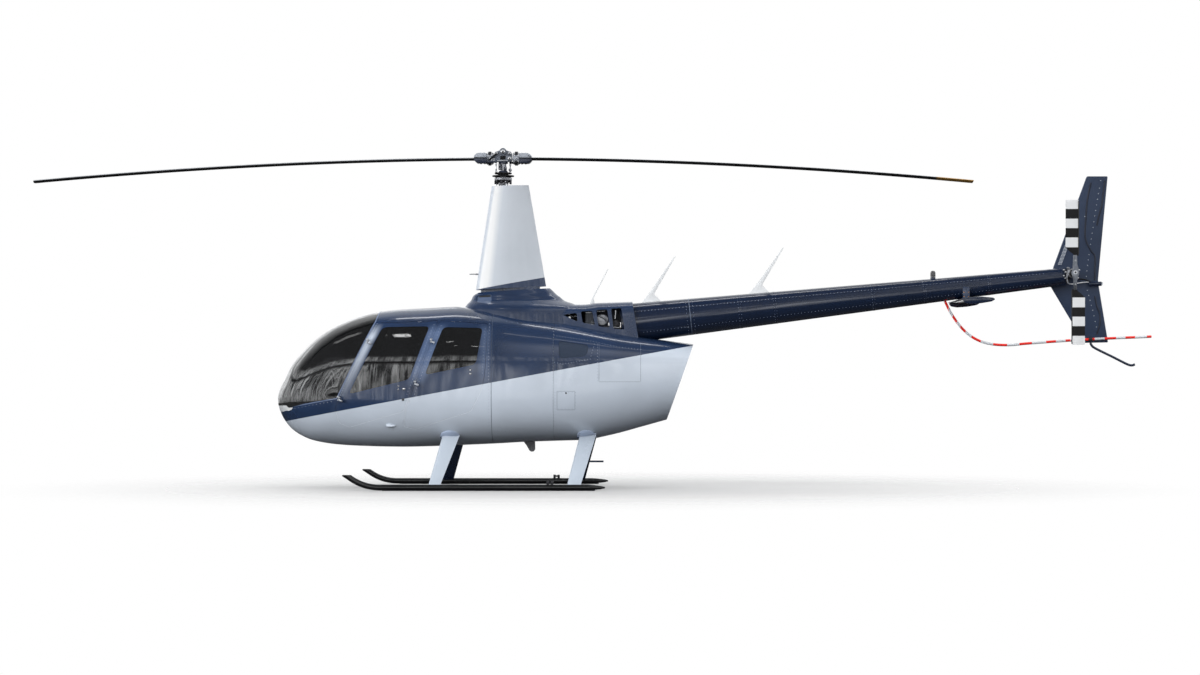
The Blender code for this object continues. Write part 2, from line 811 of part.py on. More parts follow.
def top_fairings():
    """Mast base, mast fairing, spine, and the static tower inside them."""
    base = part("mast_base_fairing", mast_base_form(), "navy")
    wall = 0.010
    cut(base, cutter("mast_base_inside", mast_base_form(wall)), OUTER_GROWN)
    tower_radius, tower_bore = 0.055, 0.040
    cut(base, cutter("tower_hole", rod((MAST_X, 0, 1.9), (MAST_X, 0, 2.3), tower_radius + GAP, segments=32)))
    spine = part("spine_fairing", spine_form(), "navy")
    aft_edge = ((0.41, 1.96), (0.48, 1.54))
    slope = (aft_edge[1][0] - aft_edge[0][0]) / (aft_edge[1][1] - aft_edge[0][1])
    low, high = 1.3, 2.2
    behind = (
        (aft_edge[0][0] + slope * (low - aft_edge[0][1]), low),
        (aft_edge[0][0] + slope * (high - aft_edge[0][1]), high),
        (1.0, high),
        (1.0, low),
    )
    inside = cutter("spine_inside", spine_form(wall))
    cut(inside, cutter("ahead_of_collar", slab(grown(behind, 0.03), -1, 1)))
    cut(
        spine,
        inside,
        cutter("behind_spine", slab(behind, -1, 1)),
        cutter("mast_base_grown", mast_base_form(-GAP)),
        OUTER_GROWN,
        BOOM_GROWN,
    )
    for i, outline in enumerate(SPINE_OPENINGS):
        cut(spine, cutter(f"spine_opening_{i}", slab(rounded(outline, 0.02), -0.6, 0.6)))
    cut(base, cutter("base_opening", slab(rounded(SPINE_OPENINGS[0], 0.02), -0.6, 0.6)))
    oil_cooler()
    case = rod((MAST_X, 0, 1.70), (MAST_X, 0, 1.99), 0.15, segments=24)
    tube_up = rod((MAST_X, 0, 1.95), (MAST_X, 0, TOWER_TOP), tower_radius, segments=32)
    tower = part("gearbox_and_tower", case, "dark metal")
    join(tower, cutter("tower_tube", tube_up))
    cut(tower, OUTER_GROWN)
    bearing = 0.040
    bore = rod((MAST_X, 0, 1.97), (MAST_X, 0, TOWER_TOP - bearing), tower_bore, segments=32)
    cut(
        tower,
        cutter("tower_bore", bore),
        cutter("bearing_bore", rod((MAST_X, 0, 3.0), (MAST_X, 0, 3.2), 0.0336, segments=32)),
    )
    fairing = part("mast_fairing", mast_fairing_form(), "white")
    previous = 1.9
    for i, height in enumerate((*FAIRING_RIBS, 3.4)):
        room = cutter(f"fairing_room_{i}", mast_fairing_form(0.006, 0.2, 0.2))
        keep(room, cutter(f"fairing_level_{i}", box((-2, -1, previous), (0, 1, height))))
        cut(fairing, room)
        previous = height + FAIRING_RIB
    bore = rod((MAST_X, 0, 1.9), (MAST_X, 0, 3.4), tower_radius + GAP, segments=32)
    cut(fairing, cutter("fairing_bore", bore))
    join(fairing, cutter("pitot_tube", rod((-1.302, 0, 2.243), (-1.205, 0, 2.243), 0.006, segments=12)))


def airfoil(chord, thickness, count=7):
    """A closed section from its front edge at 0 to its rear edge at the chord: pairs of along, up."""
    points = []
    for i in range(count + 1):
        share = 0.5 * (1 - math.cos(math.pi * i / count))
        points.append((share * chord, thickness / 2 * thickness_share(share)))
    edge = 0.0012
    upper = [(along, max(up, edge)) for along, up in points[1:]]
    return [(0.0, 0.0), *upper, *[(along, -up) for along, up in reversed(upper)]]


def main_blade(name, direction):
    """One blade: direction -1 lies over the nose, 1 over the boom."""
    pitch_axis = 0.25 * BLADE_CHORD
    section = airfoil(BLADE_CHORD, BLADE_THICKNESS, 5)
    rings = []
    stations = 9
    for i in range(stations + 1):
        r = BLADE_ROOT + (ROTOR_RADIUS - BLADE_ROOT) * i / stations
        z = BLADE_ROOT_Z - BLADE_DROOP * (r / ROTOR_RADIUS) ** 1.9
        x = MAST_X + direction * r
        rings.append([Vector((x, direction * (pitch_axis - along), z + up)) for along, up in section])
    return part(name, loft(rings), "black")


def main_rotor():
    part("rotor_mast", rod((MAST_X, 0, 2.10), (MAST_X, 0, 3.43), 0.033, segments=32), "metal")
    half, low, high, shoulder = 0.0935, 3.425, 3.545, 0.042
    outline = (
        (MAST_X - half, low),
        (MAST_X + half, low),
        (MAST_X + half, high - 0.030),
        (MAST_X + shoulder, high),
        (MAST_X - shoulder, high),
        (MAST_X - half, high - 0.030),
    )
    hub = part("rotor_hub", slab(outline, -0.045, 0.045), "metal")
    cut(hub, cutter("mast_socket", rod((MAST_X, 0, 3.3), (MAST_X, 0, 3.43 + GAP), 0.0334, segments=32)))
    join(hub, cutter("teeter_bolt", rod((MAST_X, -0.075, 3.531), (MAST_X, 0.075, 3.531), 0.035, segments=20)))
    for direction, name in ((-1, "fore"), (1, "aft")):
        z_root = BLADE_ROOT_Z
        start = MAST_X + direction * (half + GAP)
        grip = part(
            f"blade_grip_{name}",
            rod((start, 0, z_root), (MAST_X + direction * 0.18, 0, z_root), 0.052, segments=20),
            "metal",
        )
        root = box((0.17, -0.085, -0.050), (BLADE_ROOT - GAP, 0.115, 0.053))
        mirror = Matrix.Diagonal((direction, direction, 1.0, 1.0))
        bmesh.ops.transform(root, matrix=Matrix.Translation((MAST_X, 0, z_root)) @ mirror, verts=root.verts)
        fitting = cutter(f"root_fitting_{name}", root)
        main_blade(f"rotor_blade_{name}", direction)
        horn = box((0.055, 0.0525, 3.410 + GAP), (0.20, 0.105, 3.440))
        bmesh.ops.transform(horn, matrix=Matrix.Translation((MAST_X, 0, 0)) @ mirror, verts=horn.verts)
        drum_x = MAST_X + direction * 0.140
        drum = rod((drum_x, 0, z_root - 0.074), (drum_x, 0, z_root + 0.074), 0.038, segments=16)
        join(grip, fitting, cutter(f"pitch_horn_{name}", horn), cutter(f"grip_drum_{name}", drum))
    upper = part("swashplate_upper", rod((MAST_X, 0, 3.282), (MAST_X, 0, 3.312), 0.116, segments=32), "black")
    for direction, name in ((-1, "fore"), (1, "aft")):
        link_x, link_y = MAST_X + direction * 0.07, direction * 0.085
        link = rod((link_x, link_y, 3.30), (link_x, link_y, 3.410), 0.0075, segments=12)
        join(upper, cutter(f"pitch_link_{name}", link))
    cut(upper, cutter("upper_bore", rod((MAST_X, 0, 3.2), (MAST_X, 0, 3.4), 0.0334, segments=32)))
    lower = part("swashplate_lower", rod((MAST_X, 0, 3.235), (MAST_X, 0, 3.276), 0.092, segments=32), "metal")
    sleeve = rod((MAST_X, 0, TOWER_TOP + GAP), (MAST_X, 0, 3.24), 0.048, segments=32)
    join(lower, cutter("swashplate_sleeve", sleeve))
    cut(lower, cutter("lower_bore", rod((MAST_X, 0, 3.1), (MAST_X, 0, 3.4), 0.0345, segments=32)))
    foot = FAIRING_RIBS[-1] + FAIRING_RIB + GAP
    for i, degrees in enumerate((60, 180, 300)):
        x = MAST_X + 0.074 * math.cos(math.radians(degrees))
        y = 0.074 * math.sin(math.radians(degrees))
        join(lower, cutter(f"push_rod_{i}", rod((x, y, foot), (x, y, 3.25), 0.008, segments=10)))


def tail():
    """Boom, gearbox, fin, stabiliser and what they carry."""
    boom = part(
        "tail_boom",
        rod(
            (BOOM_FRONT[0], 0, BOOM_FRONT[1]),
            (BOOM_REAR[0], 0, BOOM_REAR[1]),
            BOOM_FRONT[2],
            BOOM_REAR[2],
            segments=32,
        ),
        "navy",
    )
    reach = Vector((BOOM_REAR[0] - BOOM_FRONT[0], 0, BOOM_REAR[1] - BOOM_FRONT[1])).normalized() * 0.01
    cut(
        boom,
        cutter(
            "boom_inside",
            rod(
                Vector((BOOM_FRONT[0], 0, BOOM_FRONT[1])) - reach,
                Vector((BOOM_REAR[0], 0, BOOM_REAR[1])) + reach,
                BOOM_FRONT[2] - BOOM_WALL,
                BOOM_REAR[2] - BOOM_WALL,
                segments=32,
            ),
        ),
    )
    rear = Vector((BOOM_REAR[0], 0, BOOM_REAR[1]))
    along = reach.normalized()
    gearbox = part(
        "tail_gearbox",
        rod(rear + along * GAP, rear + along * 0.045, BOOM_REAR[2], 0.060, segments=24),
        "black",
    )
    hub = Vector(TAIL_HUB)
    join(gearbox, cutter("gearbox_case", rod((hub.x, 0.075, hub.z), (hub.x, -0.14, hub.z), 0.050, 0.034, 20)))
    shaft = part(
        "tail_rotor_hub",
        rod((hub.x, -0.14 - GAP, hub.z), (hub.x, hub.y - 0.012, hub.z), 0.016, segments=16),
        "metal",
    )
    plate_end, plate_half, plate_reach = 0.025, 0.044, 0.172
    corners = (
        (-plate_end, -plate_reach),
        (plate_end, -plate_reach),
        (plate_half, 0.0),
        (plate_end, plate_reach),
        (-plate_end, plate_reach),
        (-plate_half, 0.0),
    )
    plate = slab(rounded(corners, 0.008), hub.y - 0.010, hub.y + 0.010)
    bmesh.ops.translate(plate, vec=(hub.x, 0, hub.z), verts=plate.verts)
    join(shaft, cutter("hub_plate", plate))
    for direction, name in ((1, "upper"), (-1, "lower")):
        section = airfoil(TAIL_BLADE_CHORD, 0.014, 5)
        rings = []
        for r, chord_share in ((plate_reach + GAP, 0.35), (0.26, 1.0), (0.45, 1.0), (TAIL_ROTOR_RADIUS, 1.0)):
            front = hub.x + direction * TAIL_BLADE_LEAD
            rings.append(
                [
                    Vector((front - direction * chord_share * x, hub.y + up, hub.z + direction * r))
                    for x, up in section
                ]
            )
        part(f"tail_blade_{name}", loft(rings), "white")
    fin_low, fin_high = FIN_PLANE_Y - FIN_THICKNESS / 2, FIN_PLANE_Y + FIN_THICKNESS / 2
    fin = part("tail_fin", slab(FIN, fin_low, fin_high), "navy")
    cut(fin, BOOM_GROWN)
    bevel = fin.modifiers.new("round edges", "BEVEL")
    bevel.width = 0.010
    bevel.segments = 2
    bevel.limit_method = "ANGLE"
    guard = tube("tail_guard", GUARD, 0.0135, "red", smooth=False)
    cut(guard, BOOM_GROWN)
    join(guard, cutter("guard_clamp", box((5.222, 0.055, 1.540), (5.258, fin_low - GAP, 1.578))))
    skid = tube("tail_skid", TAIL_SKID, 0.013, "navy", smooth=False)
    cut(skid, cutter("fin_grown", slab(grown(FIN, GAP), fin_low - GAP, fin_high + GAP)))
    stabiliser()
    lamp_y = fin_low - 0.030
    lamp = part("tail_light", rod((5.20, lamp_y, 2.141), (5.374, lamp_y, 2.146), 0.0235), "navy")
    join(lamp, cutter("lamp_foot", box((5.22, fin_low - 0.02, 2.128), (5.30, fin_low - GAP, 2.154))))
    beacon = part("beacon", rod((3.575, 0, 2.10), (3.575, 0, 2.255), 0.028, segments=20), "red")
    join(beacon, cutter("beacon_dome", ball((3.575, 0, 2.254), (0.0279, 0.0279, 0.026))))
    cut(beacon, BOOM_GROWN)


def stabiliser():
    """The wing under the boom with its end plates, and the saddle that holds it."""
    front, rear, height, half_span = 3.807, 4.146, 1.962, 0.765
    section = airfoil(rear - front, 0.036)
    wing = part(
        "stabiliser",
        slab([(front + x, height + up) for x, up in section], -half_span, half_span),
        "navy",
    )
    for side, name in SIDES:
        plate = slab(rounded(END_PLATE, 0.02), side * half_span - 0.006, side * half_span + 0.006)
        join(wing, cutter(f"end_plate_{name}", plate))
    saddle = cutter("stabiliser_saddle", box((3.877, -0.128, height), (3.949, 0.128, 2.107)))
    join(wing, saddle)
    cut(wing, BOOM_GROWN)


def whips():
    """The three aerials on the spine and boom, and the one under the belly."""
    spine_top = cutter("spine_grown", spine_form(-GAP))
    for i, (half, outline) in enumerate(WHIPS):
        aerial = part(f"aerial_{i + 1}", slab(outline, -half, half), "white")
        cut(aerial, spine_top if i == 0 else BOOM_GROWN)
    fin = part("belly_aerial", slab(BELLY_AERIAL, -0.006, 0.006), "dark metal")
    cut(fin, OUTER_GROWN)


def landing_gear():
    """Two skids on four streamlined legs, with their wear bars and wheel fittings."""
    bend_x, bend_radius, bend_steps, bend = -2.156, 0.50, 5, math.radians(34)
    for side, name in SIDES:
        y = side * SKID_Y
        path = [(-0.02, y, SKID_Z), (-0.10, y, SKID_Z), (bend_x, y, SKID_Z)]
        for i in range(1, bend_steps + 1):
            a = bend * i / bend_steps
            path.append((bend_x - bend_radius * math.sin(a), y, SKID_Z + bend_radius * (1 - math.cos(a))))
        last = path[-1]
        path.append((last[0] - 0.10 * math.cos(bend), y, last[2] + 0.10 * math.sin(bend)))
        skid = tube(f"skid_{name}", path, SKID_RADIUS, "black", resolution=2, smooth=False)
        cut(skid, cutter(f"skid_tip_{name}", box((-2.8, y - 0.1, 0.162), (-2.2, y + 0.1, 0.4))))
        skid_grown = tube(f"skid_grown_{name}", path, SKID_RADIUS + GAP, None, resolution=2, smooth=False)
        tail_start, tail_end = (-0.03, y, SKID_Z), (0.14, y, SKID_Z)
        wear_bar = box((-2.13, y - SHOE_HALF_WIDTH, 0.0), (0.04, y + SHOE_HALF_WIDTH, 0.015))
        join(
            skid,
            cutter(f"skid_tail_{name}", rod(tail_start, tail_end, 0.0296, 0.010, segments=12)),
            cutter(f"wear_bar_{name}", wear_bar),
            cutter(f"wheel_fitting_{name}", box((-0.455, y - 0.018, 0.045), (-0.385, y + 0.018, 0.102))),
        )
        for which, foot, head in LEGS:
            centre_x = sum(head) / 2
            belly = skin_y(centre_x, LEG_TOP_Z)
            rings = []
            for (x0, x1), out, z, thick in ((foot, SKID_Y, SKID_Z, 0.030), (head, belly, LEG_TOP_Z, 0.040)):
                section = airfoil(x1 - x0, thick, 6)
                rings.append([Vector((x0 + a, side * (out + b), z)) for a, b in section])
            inside = [near + (near - far) * 0.2 for far, near in zip(*rings)]
            leg = part(f"strut_{which}_{name}", loft([*rings, inside]), "silver")
            blister = ball((centre_x, side * (belly - 0.015), LEG_TOP_Z + 0.005), (0.135, 0.075, 0.045))
            join(leg, cutter(f"blister_{which}_{name}", blister))
            cut(leg, OUTER_GROWN, skid_grown)
            if which == "rear" and side > 0:
                rod_z = 0.253
                rod_y = SKID_Y + (belly - SKID_Y) * (rod_z - SKID_Z) / (LEG_TOP_Z - SKID_Z)
                peg = rod((-0.10, rod_y, rod_z), (0.097, rod_y, rod_z), 0.010, segments=12)
                join(leg, cutter("step_rod", peg))


def seat_outline(front, back, low):
    """The side view of a seat on its base: x and z."""
    return (
        (front, low),
        (front - 0.02, low + 0.26),
        (front - 0.03, low + 0.37),
        (front + 0.03, low + 0.40),
        (back - 0.14, low + 0.36),
        (back - 0.06, low + 0.92),
        (back + 0.02, low + 0.90),
        (back, low),
    )


def interior():
    floor_top = 0.590 + GAP
    for side, name in SIDES:
        low, high = sorted((side * 0.07, side * 0.48))
        outline = rounded(seat_outline(-2.36, -1.90, floor_top), 0.02, 2)
        part(f"seat_front_{name}", slab(outline, low, high), "leather")
    part("seat_rear", slab(rounded(seat_outline(-1.60, -1.125, floor_top), 0.02, 2), -0.54, 0.54), "leather")
    pedestal = (
        (-2.98, floor_top),
        (-2.93, 1.05),
        (-2.82, 1.20),
        (-2.74, 1.16),
        (-2.80, 0.85),
        (-2.68, floor_top),
    )
    console = part("instrument_console", slab(pedestal, -0.10, 0.10), "black")
    head = ((-2.90, 1.02), (-2.83, 1.19), (-2.75, 1.15), (-2.81, 1.00))
    join(console, cutter("panel_head", slab(head, -0.24, 0.24)))


def main():
    shell = cabin()
    for side, name in SIDES:
        door("front", FRONT_DOOR, FRONT_WINDOW, FRONT_EDGE, FRONT_HINGES, side, name, shell)
        door("rear", REAR_DOOR, REAR_WINDOW, REAR_EDGE, REAR_HINGES, side, name, shell)
    rear_fuselage()
    top_fairings()
    main_rotor()
    tail()
    whips()
    landing_gear()
    interior()


main()
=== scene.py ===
import json
import math

import bmesh
import bpy
import numpy as np
from mathutils import Matrix, Vector


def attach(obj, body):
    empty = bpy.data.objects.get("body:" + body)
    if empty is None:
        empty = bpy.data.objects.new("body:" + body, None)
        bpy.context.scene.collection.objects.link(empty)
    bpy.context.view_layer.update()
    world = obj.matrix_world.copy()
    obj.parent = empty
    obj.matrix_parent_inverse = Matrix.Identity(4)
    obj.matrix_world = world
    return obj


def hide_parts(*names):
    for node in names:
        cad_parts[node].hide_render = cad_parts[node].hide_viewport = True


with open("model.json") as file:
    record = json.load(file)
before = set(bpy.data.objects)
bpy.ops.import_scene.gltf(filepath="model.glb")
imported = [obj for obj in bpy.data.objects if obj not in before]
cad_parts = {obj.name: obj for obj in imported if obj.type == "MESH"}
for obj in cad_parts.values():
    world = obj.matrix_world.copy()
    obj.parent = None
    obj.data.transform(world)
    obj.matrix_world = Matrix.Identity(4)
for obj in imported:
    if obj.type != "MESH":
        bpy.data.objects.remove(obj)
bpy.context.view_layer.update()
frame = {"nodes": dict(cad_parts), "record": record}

NODES = frame["nodes"]

# Shared with the solids, in metres
MAST_X = -0.948
ROTOR_RADIUS = 4.935
BLADE_ROOT = 0.303
BLADE_CHORD = 0.254
BLADE_THICKNESS = 0.032
BLADE_ROOT_Z = 3.459
BLADE_DROOP = 0.239
BLADE_SET_DOWN = 0.003
TAIL_HUB = (5.033, -0.30, 2.251)
TAIL_ROTOR_RADIUS = 0.756
TAIL_BLADE_CHORD = 0.135
TAIL_BLADE_LEAD = 0.034
FIN_Y = 0.116
FIN_HALF = 0.020
BOOM_FRONT = (0.30, 1.716, 0.2100)  # x, axis height, radius
BOOM_REAR = (4.958, 2.218, 0.0895)
SKID_Y = 1.13
SKID_RADIUS = 0.030
SKID_Z = 0.0343
FIREWALL_X = -1.04
MID_X = -0.40
ROOF_Z = 1.752
POST_HALF_WIDTH = 0.014
DOOR_GAP = 0.0055
SIDES = ((-1, "left"), (1, "right"))
ENDS = ((-1, "fore"), (1, "aft"))
ON_MAST = (MAST_X, 0)

# The picture's frame: width, scale, column of x = 0 and row of the ground at the middle plane
PICTURE_WIDTH = 1200
PIXELS_PER_METRE = 95
MIDDLE_COLUMN = 593.3
GROUND_ROW = 487.2

# Clearances of panels in their openings and of what stands on the boom, and the radii of corners
FIT = 0.0006
BOOM_FIT = 0.0005
DOOR_CORNER, WINDOW_CORNER, GRILLE_CORNER = 0.03, 0.05, 0.04

# x, bottom, top, half width, height of the widest line, upper and lower roundness
STATIONS = np.array(
    (
        (-3.316, 0.925, 0.945, 0.015, 0.935, 2.0, 2.0), (-3.303, 0.850, 1.005, 0.115, 0.930, 2.0, 2.0),
        (-3.272, 0.760, 1.080, 0.205, 0.925, 2.0, 2.0), (-3.228, 0.686, 1.162, 0.285, 0.920, 2.0, 2.0),
        (-3.162, 0.612, 1.294, 0.360, 0.925, 2.1, 2.1), (-3.068, 0.548, 1.406, 0.432, 0.935, 2.2, 2.2),
        (-2.956, 0.500, 1.519, 0.492, 0.950, 2.3, 2.3), (-2.824, 0.471, 1.623, 0.545, 0.965, 2.4, 2.4),
        (-2.674, 0.451, 1.707, 0.590, 0.980, 2.5, 2.4), (-2.504, 0.440, 1.778, 0.635, 0.990, 2.5, 2.5),
        (-2.364, 0.435, 1.820, 0.665, 1.000, 2.5, 2.6), (-2.232, 0.431, 1.848, 0.690, 1.000, 2.5, 2.7),
        (-1.992, 0.428, 1.872, 0.720, 1.000, 2.5, 2.8), (-1.728, 0.433, 1.884, 0.735, 1.000, 2.5, 2.8),
        (-1.427, 0.444, 1.900, 0.740, 1.000, 2.5, 2.8), (-1.040, 0.461, 1.860, 0.735, 1.005, 2.6, 2.8),
        (-0.700, 0.480, 1.805, 0.715, 1.015, 2.7, 2.8), (-0.400, 0.490, 1.757, 0.685, 1.030, 2.8, 2.7),
        (-0.100, 0.500, 1.697, 0.635, 1.060, 2.9, 2.6), (0.200, 0.555, 1.632, 0.570, 1.100, 3.0, 2.5),
        (0.500, 0.636, 1.580, 0.497, 1.135, 3.0, 2.4), (0.800, 0.720, 1.540, 0.428, 1.165, 3.0, 2.3),
        (1.200, 0.830, 1.485, 0.340, 1.200, 3.0, 2.3),
    )
)
AROUND = 96
RINGS_PER_SPAN = 4

# Side views of the panels, as x and z
AFT_FACE = ((0.772, 0.712), (1.048, 1.494))
WINDSHIELD = (
    (-3.420, 0.905), (-3.170, 0.850), (-2.645, 0.943), (-2.262, 1.735), (-2.232, 1.850), (-2.200, 1.950),
    (-3.420, 1.950),
)
FRONT_DOOR = (
    (-2.218, 1.716), (-1.604, 1.741), (-1.944, 0.808), (-2.520, 0.640), (-2.620, 0.690), (-2.655, 0.841)
)
FRONT_WINDOW = ((-2.515, 0.981), (-2.174, 1.676), (-1.683, 1.685), (-1.883, 1.133))
REAR_DOOR = (
    (-1.580, 1.741), (-1.083, 1.710), (-1.104, 1.210), (-1.137, 1.033), (-1.248, 0.808), (-1.826, 0.622),
    (-1.940, 0.650), (-1.919, 0.808),
)
REAR_WINDOW = ((-1.542, 1.676), (-1.722, 1.179), (-1.197, 1.289), (-1.132, 1.667))
GRILLE = ((-0.349, 1.534), (-0.034, 1.489), (-0.060, 1.376), (-0.340, 1.351))


# Materials


class Nodes:
    """Short calls for the nodes of one tree."""

    def __init__(self, tree):
        self.tree = tree

    def node(self, kind, inputs=(), **settings):
        made = self.tree.nodes.new(kind)
        for key, value in settings.items():
            setattr(made, key, value)
        for key, value in dict(inputs).items():
            self.feed(made.inputs[key], value)
        return made

    def feed(self, socket, value):
        if isinstance(value, bpy.types.NodeSocket):
            self.tree.links.new(value, socket)
        else:
            socket.default_value = value

    def math(self, operation, a, b=0.0, c=0.0, clamp=False):
        node = self.node("ShaderNodeMath", {0: a, 1: b, 2: c}, operation=operation, use_clamp=clamp)
        return node.outputs[0]

    def times(self, a, b):
        return self.math("MULTIPLY", a, b)

    def spread(self, value, low, high, to_low=0.0, to_high=1.0, kind="LINEAR"):
        inputs = {0: value, 1: low, 2: high, 3: to_low, 4: to_high}
        return self.node("ShaderNodeMapRange", inputs, interpolation_type=kind).outputs[0]

    def noise_at(self, where, scale, detail):
        inputs = {"Vector": where, "Scale": scale, "Detail": detail}
        return self.node("ShaderNodeTexNoise", inputs).outputs["Fac"]

    def mix(self, share, one, other):
        return self.node("ShaderNodeMixShader", {0: share, 1: one.outputs[0], 2: other.outputs[0]})

    def camera_ray(self):
        return self.node("ShaderNodeLightPath").outputs["Is Camera Ray"]


class Look(Nodes):
    """A node material around one Principled shader."""

    def __init__(self, name, colour, roughness, metallic=0.0, coat=0.0, coat_roughness=0.03, **sockets):
        self.material = bpy.data.materials.new(name)
        self.material.use_nodes = True
        super().__init__(self.material.node_tree)
        self.shader = self.tree.nodes["Principled BSDF"]
        values = {"Base Color": (*colour, 1.0), "Roughness": roughness, "Metallic": metallic}
        values.update({"Coat Weight": coat, "Coat Roughness": coat_roughness})
        values.update({key.replace("_", " "): value for key, value in sockets.items()})
        for key, value in values.items():
            self.shader.inputs[key].default_value = value
        self.place = self.node("ShaderNodeTexCoord").outputs["Object"]

    def xyz(self):
        return self.node("ShaderNodeSeparateXYZ", {0: self.place}).outputs

    def noise(self, scale, detail, stretch=None):
        where = self.place
        if stretch:
            where = self.node("ShaderNodeMapping", {"Vector": where, "Scale": stretch}).outputs[0]
        return self.noise_at(where, scale, detail)

    def waves(self, value, rate):
        return self.math("SINE", self.times(value, rate))

    def behind_line(self, x, z, slope, shift):
        """How far x lies behind a slanted line."""
        return self.math("ADD", x, self.math("MULTIPLY_ADD", z, slope, shift))

    def below_line(self, x, z, slope, height):
        """1 under a slanted paint line, 0 above it."""
        line = self.math("MULTIPLY_ADD", x, slope, height)
        return self.spread(self.math("SUBTRACT", line, z), -0.0012, 0.0012)

    def blend(self, share, one, other):
        """A colour between two, each a colour of three numbers or a socket."""
        node = self.node("ShaderNodeMix", data_type="RGBA")
        for index, value in ((0, share), (6, one), (7, other)):
            if isinstance(value, tuple):
                value = (*value, 1.0)
            self.feed(node.inputs[index], value)
        return node.outputs[2]

    def base(self):
        """What feeds the base colour so far."""
        return self.shader.inputs["Base Color"].links[0].from_socket

    def colour(self, share, one, other):
        self.feed(self.shader.inputs["Base Color"], self.blend(share, one, other))

    def roughness(self, *spread):
        self.feed(self.shader.inputs["Roughness"], self.spread(*spread))

    def bump(self, height, distance):
        node = self.node("ShaderNodeBump", {"Height": height, "Distance": distance, "Strength": 1.0})
        normal = self.shader.inputs["Normal"]
        if normal.links:
            self.feed(node.inputs["Normal"], normal.links[0].from_socket)
        self.feed(normal, node.outputs[0])


NAVY = (0.0140, 0.0300, 0.0740)
NAVY_DEEP = (0.0100, 0.0215, 0.0540)
SILVER = (0.470, 0.522, 0.595)
SILVER_DULL = (0.432, 0.483, 0.555)


def age(look, base, dull, low=0.16, high=0.30):
    """Slow changes of tone, a fine orange peel and dust in the gloss."""
    broad = look.noise(1.7, 4.0)
    fine = look.noise(140.0, 2.0)
    look.colour(look.spread(broad, 0.35, 0.7), base, dull)
    look.roughness(look.math("ADD", broad, look.times(fine, 0.3)), 0.4, 0.9, low, high)
    look.bump(fine, 0.00006)


def post_sheen(look, x, z):
    """The share of a painted reflection: a soft pale band of reflected sky painted along the slanted post
    between windshield and front door.
    """
    across = look.spread(look.math("ABSOLUTE", look.behind_line(x, z, -0.4994, 3.075)), 0.066, 0.010)
    rise = look.spread(z, 0.93, 1.50, 0.02, 0.85)
    fall = look.spread(z, 1.58, 1.72, 1.0, 0.0)
    return look.times(across, look.times(rise, fall))


def pillar_sheen(look, x, z):
    """The share of a painted highlight: a faint bluish light painted on the two pillars beside the rear
    window.
    """
    first = look.spread(look.math("ABSOLUTE", look.behind_line(x, z, -0.3633, 2.2125)), 0.115, 0.050)
    second = look.spread(look.math("ABSOLUTE", look.math("ADD", x, 1.105)), 0.085, 0.02)
    rise = look.spread(z, 1.05, 1.22)
    fall = look.spread(z, 1.62, 1.72, 1.0, 0.0)
    return look.times(look.math("MAXIMUM", first, look.times(second, 0.55)), look.times(rise, fall))


def two_tone(name="two_tone_paint", upper=NAVY, lower=SILVER, coat=0.7):
    """Dark blue over light silver-blue, parted on a straight slanted line, with painted reflections on the
    post and pillars in the dark blue.
    """
    look = Look(name, upper, 0.2, coat=coat)
    age(look, upper, tuple(0.72 * v for v in upper))
    x, _, z = look.xyz()
    tone = look.spread(look.noise(2.3, 4.0), 0.35, 0.7)
    silver = look.blend(tone, lower, tuple(0.925 * v for v in lower))
    # Painted reflections: pale bands mixed into the dark blue on the slanted post and on the pillars beside
    # the rear window
    navy = look.blend(post_sheen(look, x, z), look.base(), (0.47, 0.53, 0.62))
    navy = look.blend(look.times(pillar_sheen(look, x, z), 0.30), navy, (0.22, 0.31, 0.52))
    look.colour(look.below_line(x, z, 0.186, 1.2943), navy, silver)
    return look.material


def plain_paint(name, base, dull, low=0.16, high=0.30, coat=0.7):
    look = Look(name, base, low, coat=coat)
    age(look, base, dull, low, high)
    return look.material


def metal(name, base, dull, low=0.25, high=0.45):
    look = Look(name, base, low, metallic=1.0)
    grain = look.noise(30.0, 4.0)
    look.colour(look.spread(grain, 0.3, 0.7), base, dull)
    look.roughness(grain, 0.3, 0.7, low, high)
    look.bump(grain, 0.0003)
    return look.material


def tinted_glass():
    look = Look(
        "tinted_glazing", (0.045, 0.047, 0.05), 0.03, coat=1.0, coat_roughness=0.015, Transmission_Weight=0.9,
        IOR=1.49,
    )
    smear = look.noise(3.0, 5.0, (1.0, 1.0, 0.35))
    look.roughness(smear, 0.4, 0.8, 0.015, 0.09)
    look.bump(look.noise(1.6, 2.0, (2.6, 2.6, 0.5)), 0.010)
    return look.material


def clear_lens():
    look = Look("clear_lens", (0.80, 0.84, 0.88), 0.06, Transmission_Weight=0.55, IOR=1.45)
    ribs = look.noise(60.0, 2.0)
    look.roughness(ribs, 0.3, 0.7, 0.04, 0.16)
    look.bump(ribs, 0.0004)
    return look.material


def fabric(name, base, dull):
    look = Look(name, base, 0.85, Sheen_Weight=0.2)
    weave = look.noise(900.0, 1.0)
    look.colour(look.spread(weave, 0.35, 0.65), base, dull)
    look.bump(weave, 0.0004)
    return look.material


def grille_mesh():
    """A dark fine screen of crossed wires."""
    look = Look("grille_screen", (0.02, 0.028, 0.045), 0.6, Specular_IOR_Level=0.2)
    x, _, z = look.xyz()
    wires = look.math("MAXIMUM", *[look.math("ABSOLUTE", look.waves(axis, 700.0)) for axis in (x, z)])
    look.colour(look.spread(wires, 0.55, 0.9), (0.005, 0.008, 0.014), (0.034, 0.050, 0.085))
    look.bump(wires, 0.0008)
    return look.material


def cooler_fins():
    """Rows of thin bright fins over dark."""
    look = Look("cooler_fins", (0.16, 0.17, 0.19), 0.45, metallic=0.8)
    x, y, z = look.xyz()
    grid = look.times(look.waves(z, 1500.0), look.waves(look.math("ADD", x, y), 900.0))
    look.colour(look.spread(grid, -0.5, 0.7), (0.05, 0.055, 0.065), (0.30, 0.32, 0.36))
    look.bump(grid, 0.0008)
    return look.material


